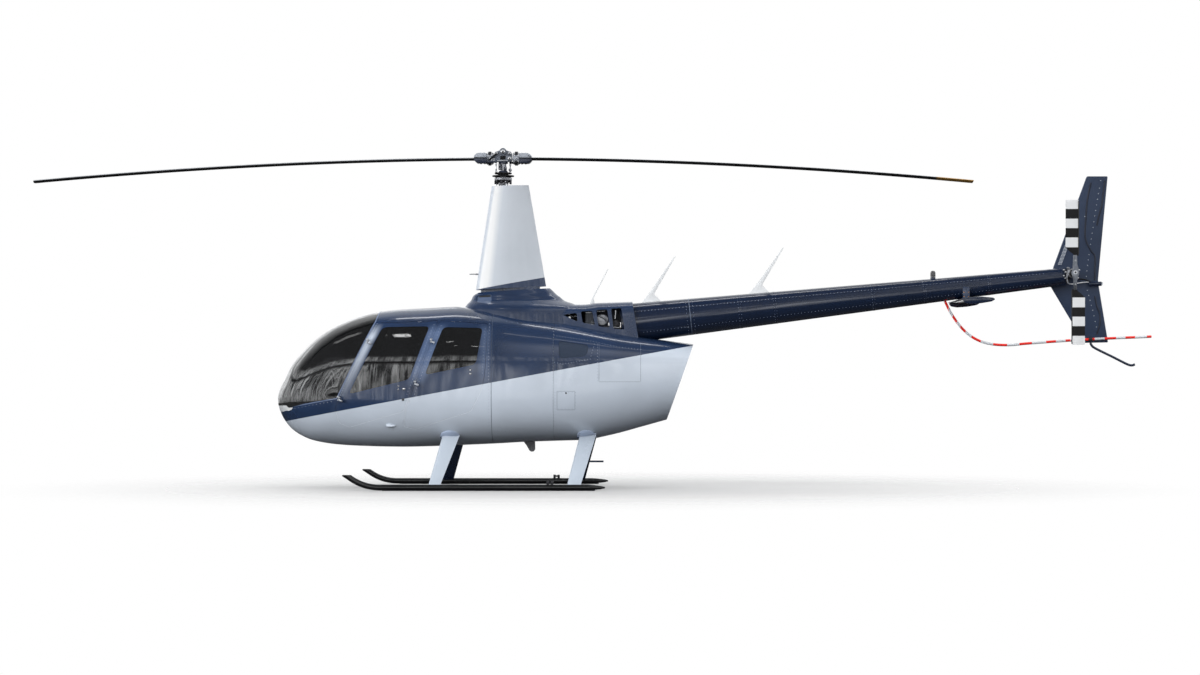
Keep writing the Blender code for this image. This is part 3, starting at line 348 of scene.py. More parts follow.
def ringed(name, colour, roughness, coat, rate, reach, one, other):
    """Fine turns of two colours, one above the other."""
    look = Look(name, colour, roughness, coat=coat)
    waves = look.waves(look.xyz()[2], rate)
    look.colour(look.spread(waves, -reach, reach), one, other)
    look.bump(waves, 0.0006)
    return look.material


def mast_fairing_paint(top, dull):
    """Pale, with a painted highlight in a soft bright strip behind the front edge and painted shade along the
    front edge, over a dark blue wedge.
    """
    look = Look("mast_fairing_paint", top, 0.3, coat=0.4)
    age(look, top, dull, 0.24, 0.36)
    x, _, z = look.xyz()
    behind_edge = look.behind_line(x, z, -0.153, 1.5535)
    behind_highlight = look.behind_line(x, z, -0.108, 1.3219)
    strip = look.times(look.spread(behind_edge, 0.026, 0.044), look.spread(behind_highlight, 0.046, -0.020))
    # Painted shade: the paint darkens towards the front edge
    pale = look.blend(look.spread(behind_edge, 0.040, 0.008), look.base(), (0.400, 0.440, 0.505))
    # Painted highlight: the soft bright strip behind the front edge
    pale = look.blend(strip, pale, (0.640, 0.645, 0.650))
    look.colour(look.below_line(x, z, 0.1836, 2.303), pale, NAVY)
    return look.material


def tail_blade_paint(white, dull):
    """White with black bands at equal distances from the hub, both ways."""
    look = Look("tail_blade_paint", white, 0.5, Specular_IOR_Level=0.2)
    age(look, white, dull, 0.45, 0.6)
    reach = look.math("ABSOLUTE", look.math("SUBTRACT", look.xyz()[2], TAIL_HUB[2]))
    black = 0.0
    for band in ((0.0, 0.262), (0.364, 0.462), (0.560, 0.662)):
        near, far = [look.spread(reach, edge - 0.0008, edge + 0.0008) for edge in band]
        black = look.math("MAXIMUM", black, look.math("SUBTRACT", near, far, clamp=True))
    look.colour(black, look.base(), (0.010, 0.010, 0.011))
    return look.material


FUSELAGE = two_tone()
NAVY_PAINT = plain_paint("navy_paint", NAVY, NAVY_DEEP)
BOOM_PAINT = plain_paint("boom_paint", (0.0060, 0.013, 0.035), (0.0045, 0.010, 0.027))
SILVER_PAINT = plain_paint("silver_paint", SILVER, SILVER_DULL)
WHITE_PAINT = plain_paint("white_paint", (0.58, 0.60, 0.63), (0.50, 0.52, 0.56), 0.3, 0.45, 0.3)
BLACK_PAINT = plain_paint("black_paint", (0.010, 0.010, 0.011), (0.018, 0.018, 0.018), 0.35, 0.55, 0.1)
FIN_PAINT = plain_paint("fin_paint", (0.016, 0.031, 0.070), (0.012, 0.024, 0.056), 0.42, 0.56, 0.0)
# Painted shade: a darker blue for the fin's beads
BEAD_SHADE_PAINT = plain_paint("bead_shade_paint", (0.004, 0.008, 0.022), (0.003, 0.006, 0.018), 0.3, 0.45, 0.2)
STRIP_BLACK = plain_paint("strip_black", (0.002, 0.002, 0.0025), (0.004, 0.004, 0.004), 0.6, 0.8, 0.0)
RED_PAINT = plain_paint("red_paint", (0.80, 0.018, 0.008), (0.66, 0.014, 0.008), 0.55, 0.7, 0.0)
GLASS = tinted_glass()
CLEAR_LENS = clear_lens()
LAMP_WHITE = plain_paint("lamp_white", (0.78, 0.78, 0.76), (0.45, 0.47, 0.49), 0.15, 0.3, 0.6)
BARE_METAL = metal("bare_metal", (0.52, 0.53, 0.56), (0.34, 0.35, 0.38))
DARK_METAL = metal("dark_metal", (0.10, 0.10, 0.11), (0.05, 0.05, 0.055), 0.35, 0.6)
BRIGHT_METAL = metal("bright_metal", (0.82, 0.83, 0.85), (0.65, 0.66, 0.68), 0.12, 0.25)
SEAT_CLOTH = fabric("seat_cloth", (0.045, 0.043, 0.042), (0.02, 0.02, 0.02))
SCREEN = grille_mesh()
RIVET_PAINT = plain_paint("rivet_paint", (0.30, 0.345, 0.43), (0.22, 0.26, 0.34), 0.25, 0.4, 0.4)
GAP_DARK = plain_paint("seam_shade", (0.012, 0.016, 0.026), (0.02, 0.024, 0.034), 0.5, 0.7, 0.0)
SEAM_LIGHT = plain_paint("seam_light", (0.12, 0.15, 0.21), (0.09, 0.115, 0.17), 0.4, 0.6, 0.0)
# Door seals: dark blue above the paint line, and below it a pale colour that is a painted highlight along the
# door gaps
SEAL_AND_HIGHLIGHT_PAINT = two_tone("seal_and_highlight_paint", (0.008, 0.016, 0.042), (0.66, 0.71, 0.78), 0.0)
TOP_PAINT = plain_paint("top_paint", NAVY, NAVY_DEEP, 0.20, 0.32, 0.35)
SCOOP_PAINT = plain_paint("scoop_paint", (0.075, 0.105, 0.175), (0.055, 0.080, 0.140), 0.25, 0.4)
BLADE_BLACK = plain_paint("blade_black", (0.008, 0.008, 0.009), (0.014, 0.014, 0.015), 0.4, 0.6, 0.0)
# Painted reflection: a lighter grey for the main blades' upward faces
BLADE_TOP_SHEEN = plain_paint("blade_top_sheen", (0.30, 0.31, 0.33), (0.22, 0.23, 0.25), 0.3, 0.5, 0.1)
BLADE_BROWN = plain_paint("blade_brown", (0.33, 0.17, 0.030), (0.26, 0.135, 0.024), 0.4, 0.6, 0.0)
# Painted light: a lighter copy of the tip's brown for its side and lower faces
BLADE_BROWN_PAINTED_LIGHT = plain_paint("blade_brown_painted_light", (0.62, 0.33, 0.055), (0.54, 0.285, 0.045), 0.5, 0.7, 0.0)
SKID_PAINT = plain_paint("skid_paint", (0.004, 0.004, 0.0045), (0.009, 0.009, 0.0095), 0.16, 0.30, 0.6)
GREY_PAINT = plain_paint("hub_grey", (0.32, 0.345, 0.39), (0.22, 0.24, 0.28), 0.25, 0.4, 0.3)
PLATE_PAINT = plain_paint("hub_plate_grey", (0.125, 0.145, 0.18), (0.09, 0.105, 0.135), 0.3, 0.45, 0.2)
SLATE_PAINT = plain_paint("hub_slate", (0.018, 0.024, 0.045), (0.010, 0.014, 0.03), 0.25, 0.4, 0.3)
HUB_STEEL = metal("hub_steel", (0.30, 0.32, 0.36), (0.20, 0.215, 0.25), 0.3, 0.5)
PALE_RIVET = plain_paint("pale_rivet", (0.55, 0.60, 0.68), (0.42, 0.46, 0.54), 0.25, 0.4, 0.4)
COPPER = metal("copper_rivet", (0.72, 0.36, 0.12), (0.55, 0.26, 0.09), 0.3, 0.5)
WHIP_PAINT = plain_paint("whip_paint", (0.64, 0.655, 0.67), (0.59, 0.605, 0.62), 0.4, 0.55, 0.0)
STRUT_PAINT = plain_paint("strut_paint", (0.40, 0.45, 0.515), (0.36, 0.405, 0.47), 0.2, 0.35, 0.5)
BLISTER_PAINT = plain_paint("blister_paint", (0.33, 0.395, 0.52), (0.29, 0.35, 0.47), 0.25, 0.4, 0.5)
HINGE_PAINT = metal("hinge_metal", (0.74, 0.77, 0.82), (0.52, 0.55, 0.60), 0.2, 0.35)
SEAM_SHADE = plain_paint("seam_line", (0.085, 0.11, 0.165), (0.06, 0.08, 0.12), 0.4, 0.6, 0.1)
BELLY_SILVER = plain_paint("bump_silver", SILVER, SILVER_DULL)
TRIM_PAINT = plain_paint("trim_paint", (0.10, 0.14, 0.24), (0.07, 0.10, 0.18), 0.3, 0.45, 0.4)
AERIAL_GREY = plain_paint("aerial_grey", (0.115, 0.12, 0.13), (0.08, 0.083, 0.09), 0.35, 0.5, 0.2)
FAIRING_PAINT = mast_fairing_paint((0.495, 0.530, 0.580), (0.445, 0.482, 0.530))
TAIL_BLADE_PAINT = tail_blade_paint((0.66, 0.67, 0.68), (0.59, 0.60, 0.615))
RIB_PAINT = ringed(
    "rib_paint", (0.42, 0.45, 0.50), 0.35, 0.2, 420.0, 0.6, (0.035, 0.05, 0.10), (0.52, 0.56, 0.62)
)
SMOKED_LENS = ringed(
    "beacon_lens", (0.075, 0.075, 0.078), 0.12, 0.5, 900.0, 1.0, (0.095, 0.095, 0.098), (0.045, 0.045, 0.048)
)
COOLER_FINS = cooler_fins()


# Shapes


def circle(count):
    """Cosine and sine at equal steps round a circle."""
    return [(math.cos(2 * math.pi * k / count), math.sin(2 * math.pi * k / count)) for k in range(count)]


def span(side, inner, outer):
    """Two distances from the middle plane, on one side, in order."""
    return sorted((side * inner, side * outer))


def moved(bm, matrix):
    bmesh.ops.transform(bm, matrix=matrix, verts=bm.verts)
    return bm


def soften(bm, width, segments=2, angle=30):
    """Rounds a form's sharp edges."""
    limit = math.radians(angle)
    edges = [e for e in bm.edges if len(e.link_faces) == 2 and e.calc_face_angle() > limit]
    bmesh.ops.bevel(bm, geom=edges, offset=width, segments=segments, profile=0.5, affect="EDGES")
    return bm


def box(low, high, soft=0.0):
    bm = bmesh.new()
    bmesh.ops.create_cube(bm, size=1.0)
    size = Vector(high) - Vector(low)
    centre = (Vector(high) + Vector(low)) / 2
    moved(bm, Matrix.Translation(centre) @ Matrix.Diagonal((*size, 1.0)))
    return soften(bm, soft) if soft else bm


def rod(start, end, radius, end_radius=None, segments=24):
    start, end = Vector(start), Vector(end)
    bm = bmesh.new()
    radii = {"radius1": radius, "radius2": radius if end_radius is None else end_radius}
    bmesh.ops.create_cone(bm, cap_ends=True, segments=segments, depth=(end - start).length, **radii)
    turn = (end - start).to_track_quat("Z", "Y").to_matrix().to_4x4()
    return moved(bm, Matrix.Translation((start + end) / 2) @ turn)


def pin(axis, place, start, end, radius, segments, soft=0.0, end_radius=None):
    """A rod along x, y or z at its two other coordinates; soft is the width of its rounded edges."""
    points = []
    for level in (start, end):
        point = list(place)
        point.insert("xyz".index(axis), level)
        points.append(point)
    form = rod(*points, radius, end_radius, segments)
    return soften(form, soft) if soft else form


def bolts(places, axis, radius, height, segments=6):
    """Bolt heads that stand on a surface."""
    axis = Vector(axis)
    heads = [rod(place, Vector(place) + axis * height, radius, radius * 0.86, segments) for place in places]
    return merged(*heads)


def ball(centre, radii, u, v):
    bm = bmesh.new()
    bmesh.ops.create_uvsphere(bm, u_segments=u, v_segments=v, radius=1.0)
    return moved(bm, Matrix.Translation(centre) @ Matrix.Diagonal((*radii, 1.0)))


def slab(outline, low, high, plane="xz", soft=0.0):
    """A flat outline given as two coordinates, drawn out along the third."""
    order = {"xz": (0, 2, 1), "xy": (0, 1, 2)}[plane]
    bm = bmesh.new()
    rows = []
    for level in (low, high):
        row = []
        for a, b in outline:
            point = Vector((0, 0, 0))
            point[order[0]], point[order[1]], point[order[2]] = a, b, level
            row.append(bm.verts.new(point))
        rows.append(row)
    bm.faces.new(rows[0])
    bm.faces.new(rows[1])
    for i in range(len(outline)):
        j = (i + 1) % len(outline)
        bm.faces.new((rows[0][i], rows[0][j], rows[1][j], rows[1][i]))
    bmesh.ops.recalc_face_normals(bm, faces=bm.faces)
    return soften(bm, soft) if soft else bm


def loft(rings):
    """A skin over rings of equal counts, closed at both ends."""
    bm = bmesh.new()
    rows = [[bm.verts.new(point) for point in ring] for ring in rings]
    count = len(rows[0])
    for near, far in zip(rows, rows[1:]):
        for i in range(count):
            j = (i + 1) % count
            bm.faces.new((near[i], near[j], far[j], far[i]))
    bm.faces.new(rows[0])
    bm.faces.new(rows[-1])
    bmesh.ops.recalc_face_normals(bm, faces=bm.faces)
    return bm


def merged(*forms):
    """One bmesh of several, side by side."""
    bm = bmesh.new()
    for form in forms:
        mesh = bpy.data.meshes.new("part")
        form.to_mesh(mesh)
        form.free()
        bm.from_mesh(mesh)
        bpy.data.meshes.remove(mesh)
    return bm


def sweep(points, radius, segments=16, taper=None):
    """A round tube along points; taper gives the radius at each one."""
    points = [Vector(p) for p in points]
    radii = taper or [radius] * len(points)
    rings = []
    side = None
    for i, point in enumerate(points):
        ahead = (points[min(i + 1, len(points) - 1)] - points[max(i - 1, 0)]).normalized()
        if side is None:
            side = ahead.orthogonal().normalized()
        side = (side - ahead * side.dot(ahead)).normalized()
        up = ahead.cross(side)
        rings.append([point + radii[i] * (side * c + up * s) for c, s in circle(segments)])
    return loft(rings)


def smooth_line(points, per_span=6):
    """Points along a Catmull-Rom line."""
    points = [Vector(p) for p in points]
    padded = [2 * points[0] - points[1], *points, 2 * points[-1] - points[-2]]
    line = []
    for i in range(1, len(padded) - 2):
        a, b, c, d = padded[i - 1 : i + 3]
        for step in range(per_span):
            t = step / per_span
            square, cube = t * t, t**3
            bend = (2 * a - 5 * b + 4 * c - d) * square + (3 * b - a - 3 * c + d) * cube
            line.append(0.5 * (2 * b + (c - a) * t + bend))
    line.append(points[-1])
    return line


def grown(outline, distance):
    """An outline with each edge moved out by a distance, or in by a negative one."""
    area = sum(x0 * z1 - x1 * z0 for (x0, z0), (x1, z1) in zip(outline, [*outline[1:], outline[0]]))
    turn = 1 if area > 0 else -1
    result = []
    for i, (x, z) in enumerate(outline):
        before = Vector((x, z)) - Vector(outline[i - 1])
        after = Vector(outline[(i + 1) % len(outline)]) - Vector((x, z))
        n0 = Vector((before.y, -before.x)).normalized() * turn
        n1 = Vector((after.y, -after.x)).normalized() * turn
        middle = (n0 + n1).normalized()
        result.append(tuple(Vector((x, z)) + middle * (distance / middle.dot(n0))))
    return result


def rounded(outline, radius, steps=8):
    """An outline with its corners rounded."""
    result = []
    for i, corner in enumerate(outline):
        corner = Vector(corner)
        to_last = Vector(outline[i - 1]) - corner
        to_next = Vector(outline[(i + 1) % len(outline)]) - corner
        reach = min(radius, 0.45 * to_last.length, 0.45 * to_next.length)
        start = corner + to_last.normalized() * reach
        end = corner + to_next.normalized() * reach
        for step in range(steps + 1):
            t = step / steps
            result.append(tuple((1 - t) ** 2 * start + 2 * t * (1 - t) * corner + t * t * end))
    return result


def add(name, data):
    obj = bpy.data.objects.new(name, data)
    bpy.context.scene.collection.objects.link(obj)
    return obj


def temporary(bm):
    mesh = bpy.data.meshes.new("working")
    bm.to_mesh(mesh)
    return add("working", mesh)


def shaped(base, *steps, solver="MANIFOLD"):
    """The closed form left after each step, a pair of operation and form."""
    obj = temporary(base)
    base.free()
    helpers = []
    for operation, form in steps:
        helper = temporary(form)
        helpers.append(helper)
        modifier = obj.modifiers.new("step", "BOOLEAN")
        modifier.operation = operation
        modifier.solver = solver
        modifier.object = helper
    graph = bpy.context.evaluated_depsgraph_get()
    mesh = bpy.data.meshes.new_from_object(obj.evaluated_get(graph))
    result = bmesh.new()
    result.from_mesh(mesh)
    bpy.data.meshes.remove(mesh)
    for used in (obj, *helpers):
        spare = used.data
        bpy.data.objects.remove(used, do_unlink=True)
        bpy.data.meshes.remove(spare)
    return result


def minus(form):
    return ("DIFFERENCE", form)


def within(form):
    return ("INTERSECT", form)


def plus(form):
    return ("UNION", form)


def piece(name, bm, material, body="airframe", stands_for=(), angle=35):
    """A shown object on its body; stands_for names the solids that it covers for."""
    bmesh.ops.recalc_face_normals(bm, faces=bm.faces)
    mesh = bpy.data.meshes.new(name)
    bm.to_mesh(mesh)
    bm.free()
    mesh.materials.append(material)
    mesh.shade_smooth()
    mesh.set_sharp_from_angle(angle=math.radians(angle))
    obj = add(name, mesh)
    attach(obj, body)
    if stands_for:
        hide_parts(*([stands_for] if isinstance(stands_for, str) else stands_for))
    return obj


def repaint(obj, material, test):
    """Gives the faces that pass a test of their centre and normal another material."""
    mesh = obj.data
    mesh.materials.append(material)
    index = len(mesh.materials) - 1
    for face in mesh.polygons:
        if test(face.center, face.normal):
            face.material_index = index
    return obj


# The body's surface


def steady_slopes(x, y):
    """Slopes of a curve through the rows that never overshoots them."""
    step = np.diff(x)[:, None]
    rise = np.diff(y, axis=0) / step
    slopes = np.zeros_like(y)
    w0, w1 = 2 * step[1:] + step[:-1], step[1:] + 2 * step[:-1]
    same = rise[:-1] * rise[1:] > 0
    safe = np.where(same, rise[:-1], 1.0), np.where(same, rise[1:], 1.0)
    slopes[1:-1] = np.where(same, (w0 + w1) / (w0 / safe[0] + w1 / safe[1]), 0.0)
    slopes[0], slopes[-1] = rise[0], rise[-1]
    return slopes


STATION_X = STATIONS[:, 0]
SLOPES = steady_slopes(STATION_X, STATIONS[:, 1:])


def sections(x):
    """The body's values at each x: bottom, top, half width, widest height, roundness up and down."""
    x = np.clip(np.asarray(x, float), STATION_X[0], STATION_X[-1])
    i = np.clip(np.searchsorted(STATION_X, x) - 1, 0, len(STATION_X) - 2)
    h = (STATION_X[i + 1] - STATION_X[i])[:, None]
    t = (x[:, None] - STATION_X[i][:, None]) / h
    a, b = STATIONS[i, 1:], STATIONS[i + 1, 1:]
    ease = t * t * (3 - 2 * t)
    return a + (b - a) * ease + h * (t * (1 - t) ** 2 * SLOPES[i] - t * t * (1 - t) * SLOPES[i + 1])


def body_value(points):
    """Below 1 inside the body, 1 on its skin, above 1 outside."""
    bottom, top, half, wide, upper, lower = sections(points[:, 0]).T
    above = points[:, 2] >= wide
    reach = np.where(above, top - wide, wide - bottom)
    power = np.where(above, upper, lower)
    return np.abs(points[:, 1] / half) ** power + np.abs((points[:, 2] - wide) / reach) ** power


def body_normals(points):
    eps = 0.0004
    slope = np.empty_like(points)
    for axis in range(3):
        shift = np.zeros(3)
        shift[axis] = eps
        slope[:, axis] = body_value(points + shift) - body_value(points - shift)
    length = np.linalg.norm(slope, axis=1, keepdims=True)
    return slope / np.maximum(length, 1e-12)


def skin_y(x, z):
    """Half the body's width at a place on its side."""
    bottom, top, half, wide, upper, lower = sections([x])[0]
    share, power = ((z - wide) / (top - wide), upper) if z >= wide else ((wide - z) / (wide - bottom), lower)
    return half * max(0.0, 1 - share**power) ** (1 / power)


def signed_power(value, power):
    return math.copysign(abs(value) ** power, value)


def body_form(inset=0.0):
    """The whole outer form as one closed solid, moved in by a distance."""
    xs = []
    for near, far in zip(STATION_X, STATION_X[1:]):
        xs.extend(near + (far - near) * k / RINGS_PER_SPAN for k in range(RINGS_PER_SPAN))
    xs.append(STATION_X[-1])
    rings = []
    for x, (bottom, top, half, wide, upper, lower) in zip(xs, sections(xs)):
        ring = []
        for c, s in circle(AROUND):
            power = 2 / (upper if s >= 0 else lower)
            reach = top - wide if s >= 0 else wide - bottom
            ring.append(Vector((x, half * signed_power(c, power), wide + reach * signed_power(s, power))))
        rings.append(ring)
    bm = loft(rings)
    if inset:
        bm.normal_update()
        moves = [(vert, vert.normal.copy()) for vert in bm.verts]
        for vert, normal in moves:
            vert.co -= normal * inset
    return bm


WALL = 0.012
OUTER = body_form()
INNER = body_form(WALL)
GLASS_DEPTHS = (0.0012, 0.0055)


def polish(obj):
    """Gives the skin's faces the true normals of the body's surface, so that gloss runs clean."""
    mesh = obj.data
    count = len(mesh.vertices)
    points = np.empty(count * 3)
    mesh.vertices.foreach_get("co", points)
    smooth = body_normals(points.reshape(-1, 3))
    vertex_of = np.empty(len(mesh.loops), int)
    mesh.loops.foreach_get("vertex_index", vertex_of)
    flat = np.empty(len(mesh.polygons) * 3)
    mesh.polygons.foreach_get("normal", flat)
    flat = flat.reshape(-1, 3)
    corners = np.empty(len(mesh.polygons), int)
    mesh.polygons.foreach_get("loop_total", corners)
    flat = np.repeat(flat, corners, axis=0)
    true = smooth[vertex_of]
    along = np.sum(true * flat, axis=1)[:, None]
    result = np.where(along > 0.8, true, np.where(along < -0.8, -true, flat))
    mesh.normals_split_custom_set(result.tolist())
    return obj


def layer(form, outer, inner):
    """What a form holds of the body between two depths under its skin."""
    return shaped(body_form(outer), within(form), minus(body_form(inner)))


def side_slab(outline, side, inner=0.2):
    return slab(outline, *span(side, inner, 1.2))


def across_body(from_x=-3.5, to_x=2.0, low=0.2, high=2.2):
    """A box right across the body, to cut with."""
    return box((from_x, -1, low), (to_x, 1, high))


def behind_edge(edge, low, high, aft):
    """The side view of everything behind a slanted edge, as far as an x."""
    (x0, z0), (x1, z1) = edge
    slope = (x1 - x0) / (z1 - z0)
    return ((x0 + slope * (low - z0), low), (x0 + slope * (high - z0), high), (aft, high), (aft, low))


def boom_form(extra):
    """The boom as one cone, wider by a clearance."""
    start = (BOOM_FRONT[0] - 0.001, 0, BOOM_FRONT[1])
    end = (BOOM_REAR[0], 0, BOOM_REAR[1])
    return rod(start, end, BOOM_FRONT[2] + extra, BOOM_REAR[2] + extra, 96)


# Outlines of the nose light's white cheeks and of the black strips over it
LAMP_SIDE = (
    (-3.33, 0.864), (-3.195, 0.864), (-3.168, 0.840), (-3.120, 0.842), (-3.132, 0.822), (-3.163, 0.808),
    (-3.212, 0.808), (-3.24, 0.795), (-3.33, 0.800),
)
NOSE_STRIP = (
    (-3.34, 0.886), (-2.985, 0.886), (-3.060, 0.863), (-3.163, 0.839), (-3.190, 0.861), (-3.34, 0.861)
)
DOORS = (("front", FRONT_DOOR, FRONT_WINDOW), ("rear", REAR_DOOR, REAR_WINDOW))


def body_skin(name, cuts, solids):
    """A painted skin: the whole body's wall less some forms."""
    skin = shaped(OUTER.copy(), minus(INNER), *[minus(form) for form in cuts])
    polish(piece(name, skin, FUSELAGE, stands_for=solids))


def nose():
    """The landing light behind its lens, with the trim on both sides."""
    lens = layer(box((-3.5, -0.1044, 0.7906), (-3.15, 0.1044, 0.8674)), *GLASS_DEPTHS)
    polish(piece("nose_lamp_lens", lens, CLEAR_LENS, stands_for="landing_light_lens"))
    bowl = layer(box((-3.5, -0.110, 0.784), (-3.13, 0.110, 0.874)), 0.016, 0.020)
    piece("nose_lamp_bowl", bowl, BRIGHT_METAL)
    for side, name in SIDES:
        for kind, outline, inner, material in (
            ("nose_lamp_side", LAMP_SIDE, 0.107, LAMP_WHITE),
            ("nose_strip", NOSE_STRIP, POST_HALF_WIDTH, STRIP_BLACK),
        ):
            form = layer(side_slab(rounded(outline, 0.003), side, inner), -0.0020, 0.0010)
            polish(piece(f"{kind}_{name}", form, material))


def doors():
    """Each door's leaf with its pane, and the seal on the frame round it, dark above the paint line and pale
    below it as a painted highlight.
    """
    for side, name in SIDES:
        for kind, outline, window in DOORS:
            body = f"{kind}_{name}_door"
            leaf = shaped(
                OUTER.copy(), within(side_slab(rounded(outline, DOOR_CORNER), side)), minus(INNER),
                minus(side_slab(rounded(window, WINDOW_CORNER), side)),
            )
            polish(piece(f"{body}_skin", leaf, FUSELAGE, body, f"door_{kind}_{name}"))
            pane = layer(side_slab(rounded(grown(window, -FIT), WINDOW_CORNER), side), *GLASS_DEPTHS)
            polish(piece(f"{kind}_{name}_pane", pane, GLASS, body, f"window_{kind}_{name}"))
            seal = shaped(
                body_form(0.0012),
                within(side_slab(rounded(grown(outline, DOOR_GAP - 0.0004), DOOR_CORNER), side)),
                minus(side_slab(rounded(grown(outline, 0.0010), DOOR_CORNER), side)), minus(INNER),
            )
            polish(piece(f"{body}_seal", seal, SEAL_AND_HIGHLIGHT_PAINT))


def fuselage():
    """The painted skins, glass and grilles; each skin is cut out of the whole body."""
    shell_cuts = [
        across_body(from_x=FIREWALL_X - 0.001), across_body(low=ROOF_Z - 0.001),
        box((-3.5, -0.105, 0.790), (-3.15, 0.105, 0.868)),
    ]
    roof_cuts = [shell_cuts[0], across_body(high=ROOF_Z + 0.001)]
    for side, name in SIDES:
        glass = layer(side_slab(grown(WINDSHIELD, -FIT), side, POST_HALF_WIDTH + FIT), *GLASS_DEPTHS)
        polish(piece(f"screen_{name}", glass, GLASS, stands_for=f"windshield_{name}"))
        openings = [side_slab(WINDSHIELD, side, POST_HALF_WIDTH)]
        for _, outline, _ in DOORS:
            openings.append(side_slab(rounded(grown(outline, DOOR_GAP), DOOR_CORNER), side))
        shell_cuts += openings
        roof_cuts += openings
    body_skin("cabin_skin", shell_cuts, ("cabin_shell", "belly_pan"))
    body_skin("roof_skin", roof_cuts, "roof_panel")
    nose()
    doors()
    middle_cuts = [across_body(to_x=FIREWALL_X + 0.001), across_body(from_x=MID_X - 0.001)]
    body_skin("middle_skin", middle_cuts, "mid_fuselage")
    face = slab(behind_edge(AFT_FACE, 0.3, 2.1, 3.0), -1.0, 1.0)
    grilles = [side_slab(rounded(GRILLE, GRILLE_CORNER), side) for side, _ in SIDES]
    body_skin("cowl_skin", [across_body(to_x=MID_X + 0.001), face, boom_form(FIT), *grilles], "engine_cowl")
    for side, name in SIDES:
        screen = layer(side_slab(rounded(grown(GRILLE, -FIT), GRILLE_CORNER), side), 0.005, 0.009)
        polish(piece(f"grille_screen_{name}", screen, SCREEN, stands_for=f"cowl_grille_{name}"))


# Fairings on top


AROUND_FAIRING = 72


def plan_ring(front, aft, half_width, height, slope):
    """An ellipse in plan, tilted by a slope along its length."""
    ring = []
    for c, s in circle(AROUND_FAIRING):
        x = (front + aft) / 2 + (aft - front) / 2 * c
        ring.append(Vector((x, half_width * s, height + slope * (x - front))))
    return ring


MAST_BASE_RINGS = (
    (-1.360, -0.080, 0.400, 1.55), (-1.360, -0.110, 0.370, 1.86), (-1.345, -0.145, 0.335, 1.903),
    (-1.320, -0.218, 0.290, 1.934), (-1.290, -0.300, 0.245, 1.962), (-1.262, -0.368, 0.215, 2.015),
)
BASE_TOP = (-1.215, -0.454, 0.180, 2.046, 0.0618)
FAIRING_FOOT = (-1.236, -0.496, 0.155, 2.075, 0.0527)
FAIRING_TOP = (-1.069, -0.680, 0.100, 3.166, 0.035)
SPINE_SECTIONS = (
    (-0.60, 1.930, 0.300), (-0.30, 1.926, 0.290), (-0.10, 1.924, 0.272), (0.057, 1.941, 0.256),
    (0.25, 1.947, 0.240), (0.52, 1.957, 0.228),
)
SPINE_OPENINGS = (
    ((-0.310, 1.809), (-0.168, 1.831), (-0.160, 1.737)),
    ((-0.126, 1.846), (-0.008, 1.850), (0.022, 1.706), (-0.106, 1.726)),
    ((0.035, 1.860), (0.150, 1.868), (0.176, 1.676), (0.058, 1.690)),
    ((0.190, 1.876), (0.296, 1.882), (0.332, 1.657), (0.216, 1.665)),
)
SPINE_AFT_EDGE = ((0.41, 1.96), (0.48, 1.54))
SCOOP = ((-1.215, 2.012), (-1.222, 1.945), (-1.062, 1.925), (-1.062, 2.028))
SCOOP_SLOT = ((-1.200, 2.010), (-1.197, 1.996), (-1.072, 2.000), (-1.072, 2.020))


# Radius and side view of the pipes behind the first opening
SPINE_PIPES = (
    (0.006, ((-0.335, 1.816), (-0.29, 1.800), (-0.25, 1.776), (-0.19, 1.752))),
    (0.004, ((-0.27, 1.835), (-0.235, 1.800), (-0.205, 1.790), (-0.16, 1.805))),
)


def refined(rows, per_span):
    """Rows of numbers with more between them, along a smooth line."""
    rows = np.array(rows, float)
    index = np.arange(len(rows), dtype=float)
    slopes = steady_slopes(index, rows)
    result = []
    for i in range(len(rows) - 1):
        for k in range(per_span):
            t = k / per_span
            ease = t * t * (3 - 2 * t)
            bend = t * (1 - t) ** 2 * slopes[i] - t * t * (1 - t) * slopes[i + 1]
            result.append(rows[i] + (rows[i + 1] - rows[i]) * ease + bend)
    result.append(rows[-1])
    return result


def mast_base_form(inset=0.0):
    rows = [(*row, 0.0) for row in MAST_BASE_RINGS] + [BASE_TOP]
    rings = []
    for front, aft, half, height, slope in refined(rows, 4):
        rings.append(plan_ring(front + inset, aft - inset, half - inset, height, slope))
    if inset:
        rings[-1] = [point - Vector((0, 0, inset)) for point in rings[-1]]
    return loft(rings)


def thickness_share(share):
    """A streamlined section's thickness at a share of its length, 1 at its thickest."""
    fall = 0.126 * share + 0.3516 * share**2 - 0.2843 * share**3 + 0.1015 * share**4
    return 10 * (0.2969 * math.sqrt(share) - fall)


def fairing_ring(front, aft, half_width, height, slope):
    """A plan section with a round front and a thin rear edge."""
    ring = []
    for c, s in circle(AROUND_FAIRING):
        share = (1 + c) / 2
        x = front + (aft - front) * share
        y = math.copysign(half_width * thickness_share(share), s)
        ring.append(Vector((x, y, height + slope * (x - front))))
    return ring


def airfoil(chord, thickness, count=14):
    """A closed section from its front edge at 0 to its rear edge at the chord: pairs of along, up."""
    points = []
    for i in range(count + 1):
        share = 0.5 * (1 - math.cos(math.pi * i / count))
        points.append((share * chord, thickness / 2 * thickness_share(share)))
    edge = 0.0012
    upper = [(along, max(up, edge)) for along, up in points[1:]]
    return [(0.0, 0.0), *upper, *[(along, -up) for along, up in reversed(upper)]]


def mast_fairing_form(inset=0.0, below=0.0, above=0.0):
    levels = []
    for front, aft, half, height, slope in (FAIRING_FOOT, FAIRING_TOP):
        levels.append((front + inset, aft - inset, half - inset, height, slope))
    rings = []
    for t in (-below, *[k / 12 for k in range(13)], 1.0 + above):
        rings.append(fairing_ring(*[a + (b - a) * t for a, b in zip(*levels)]))
    return loft(rings)


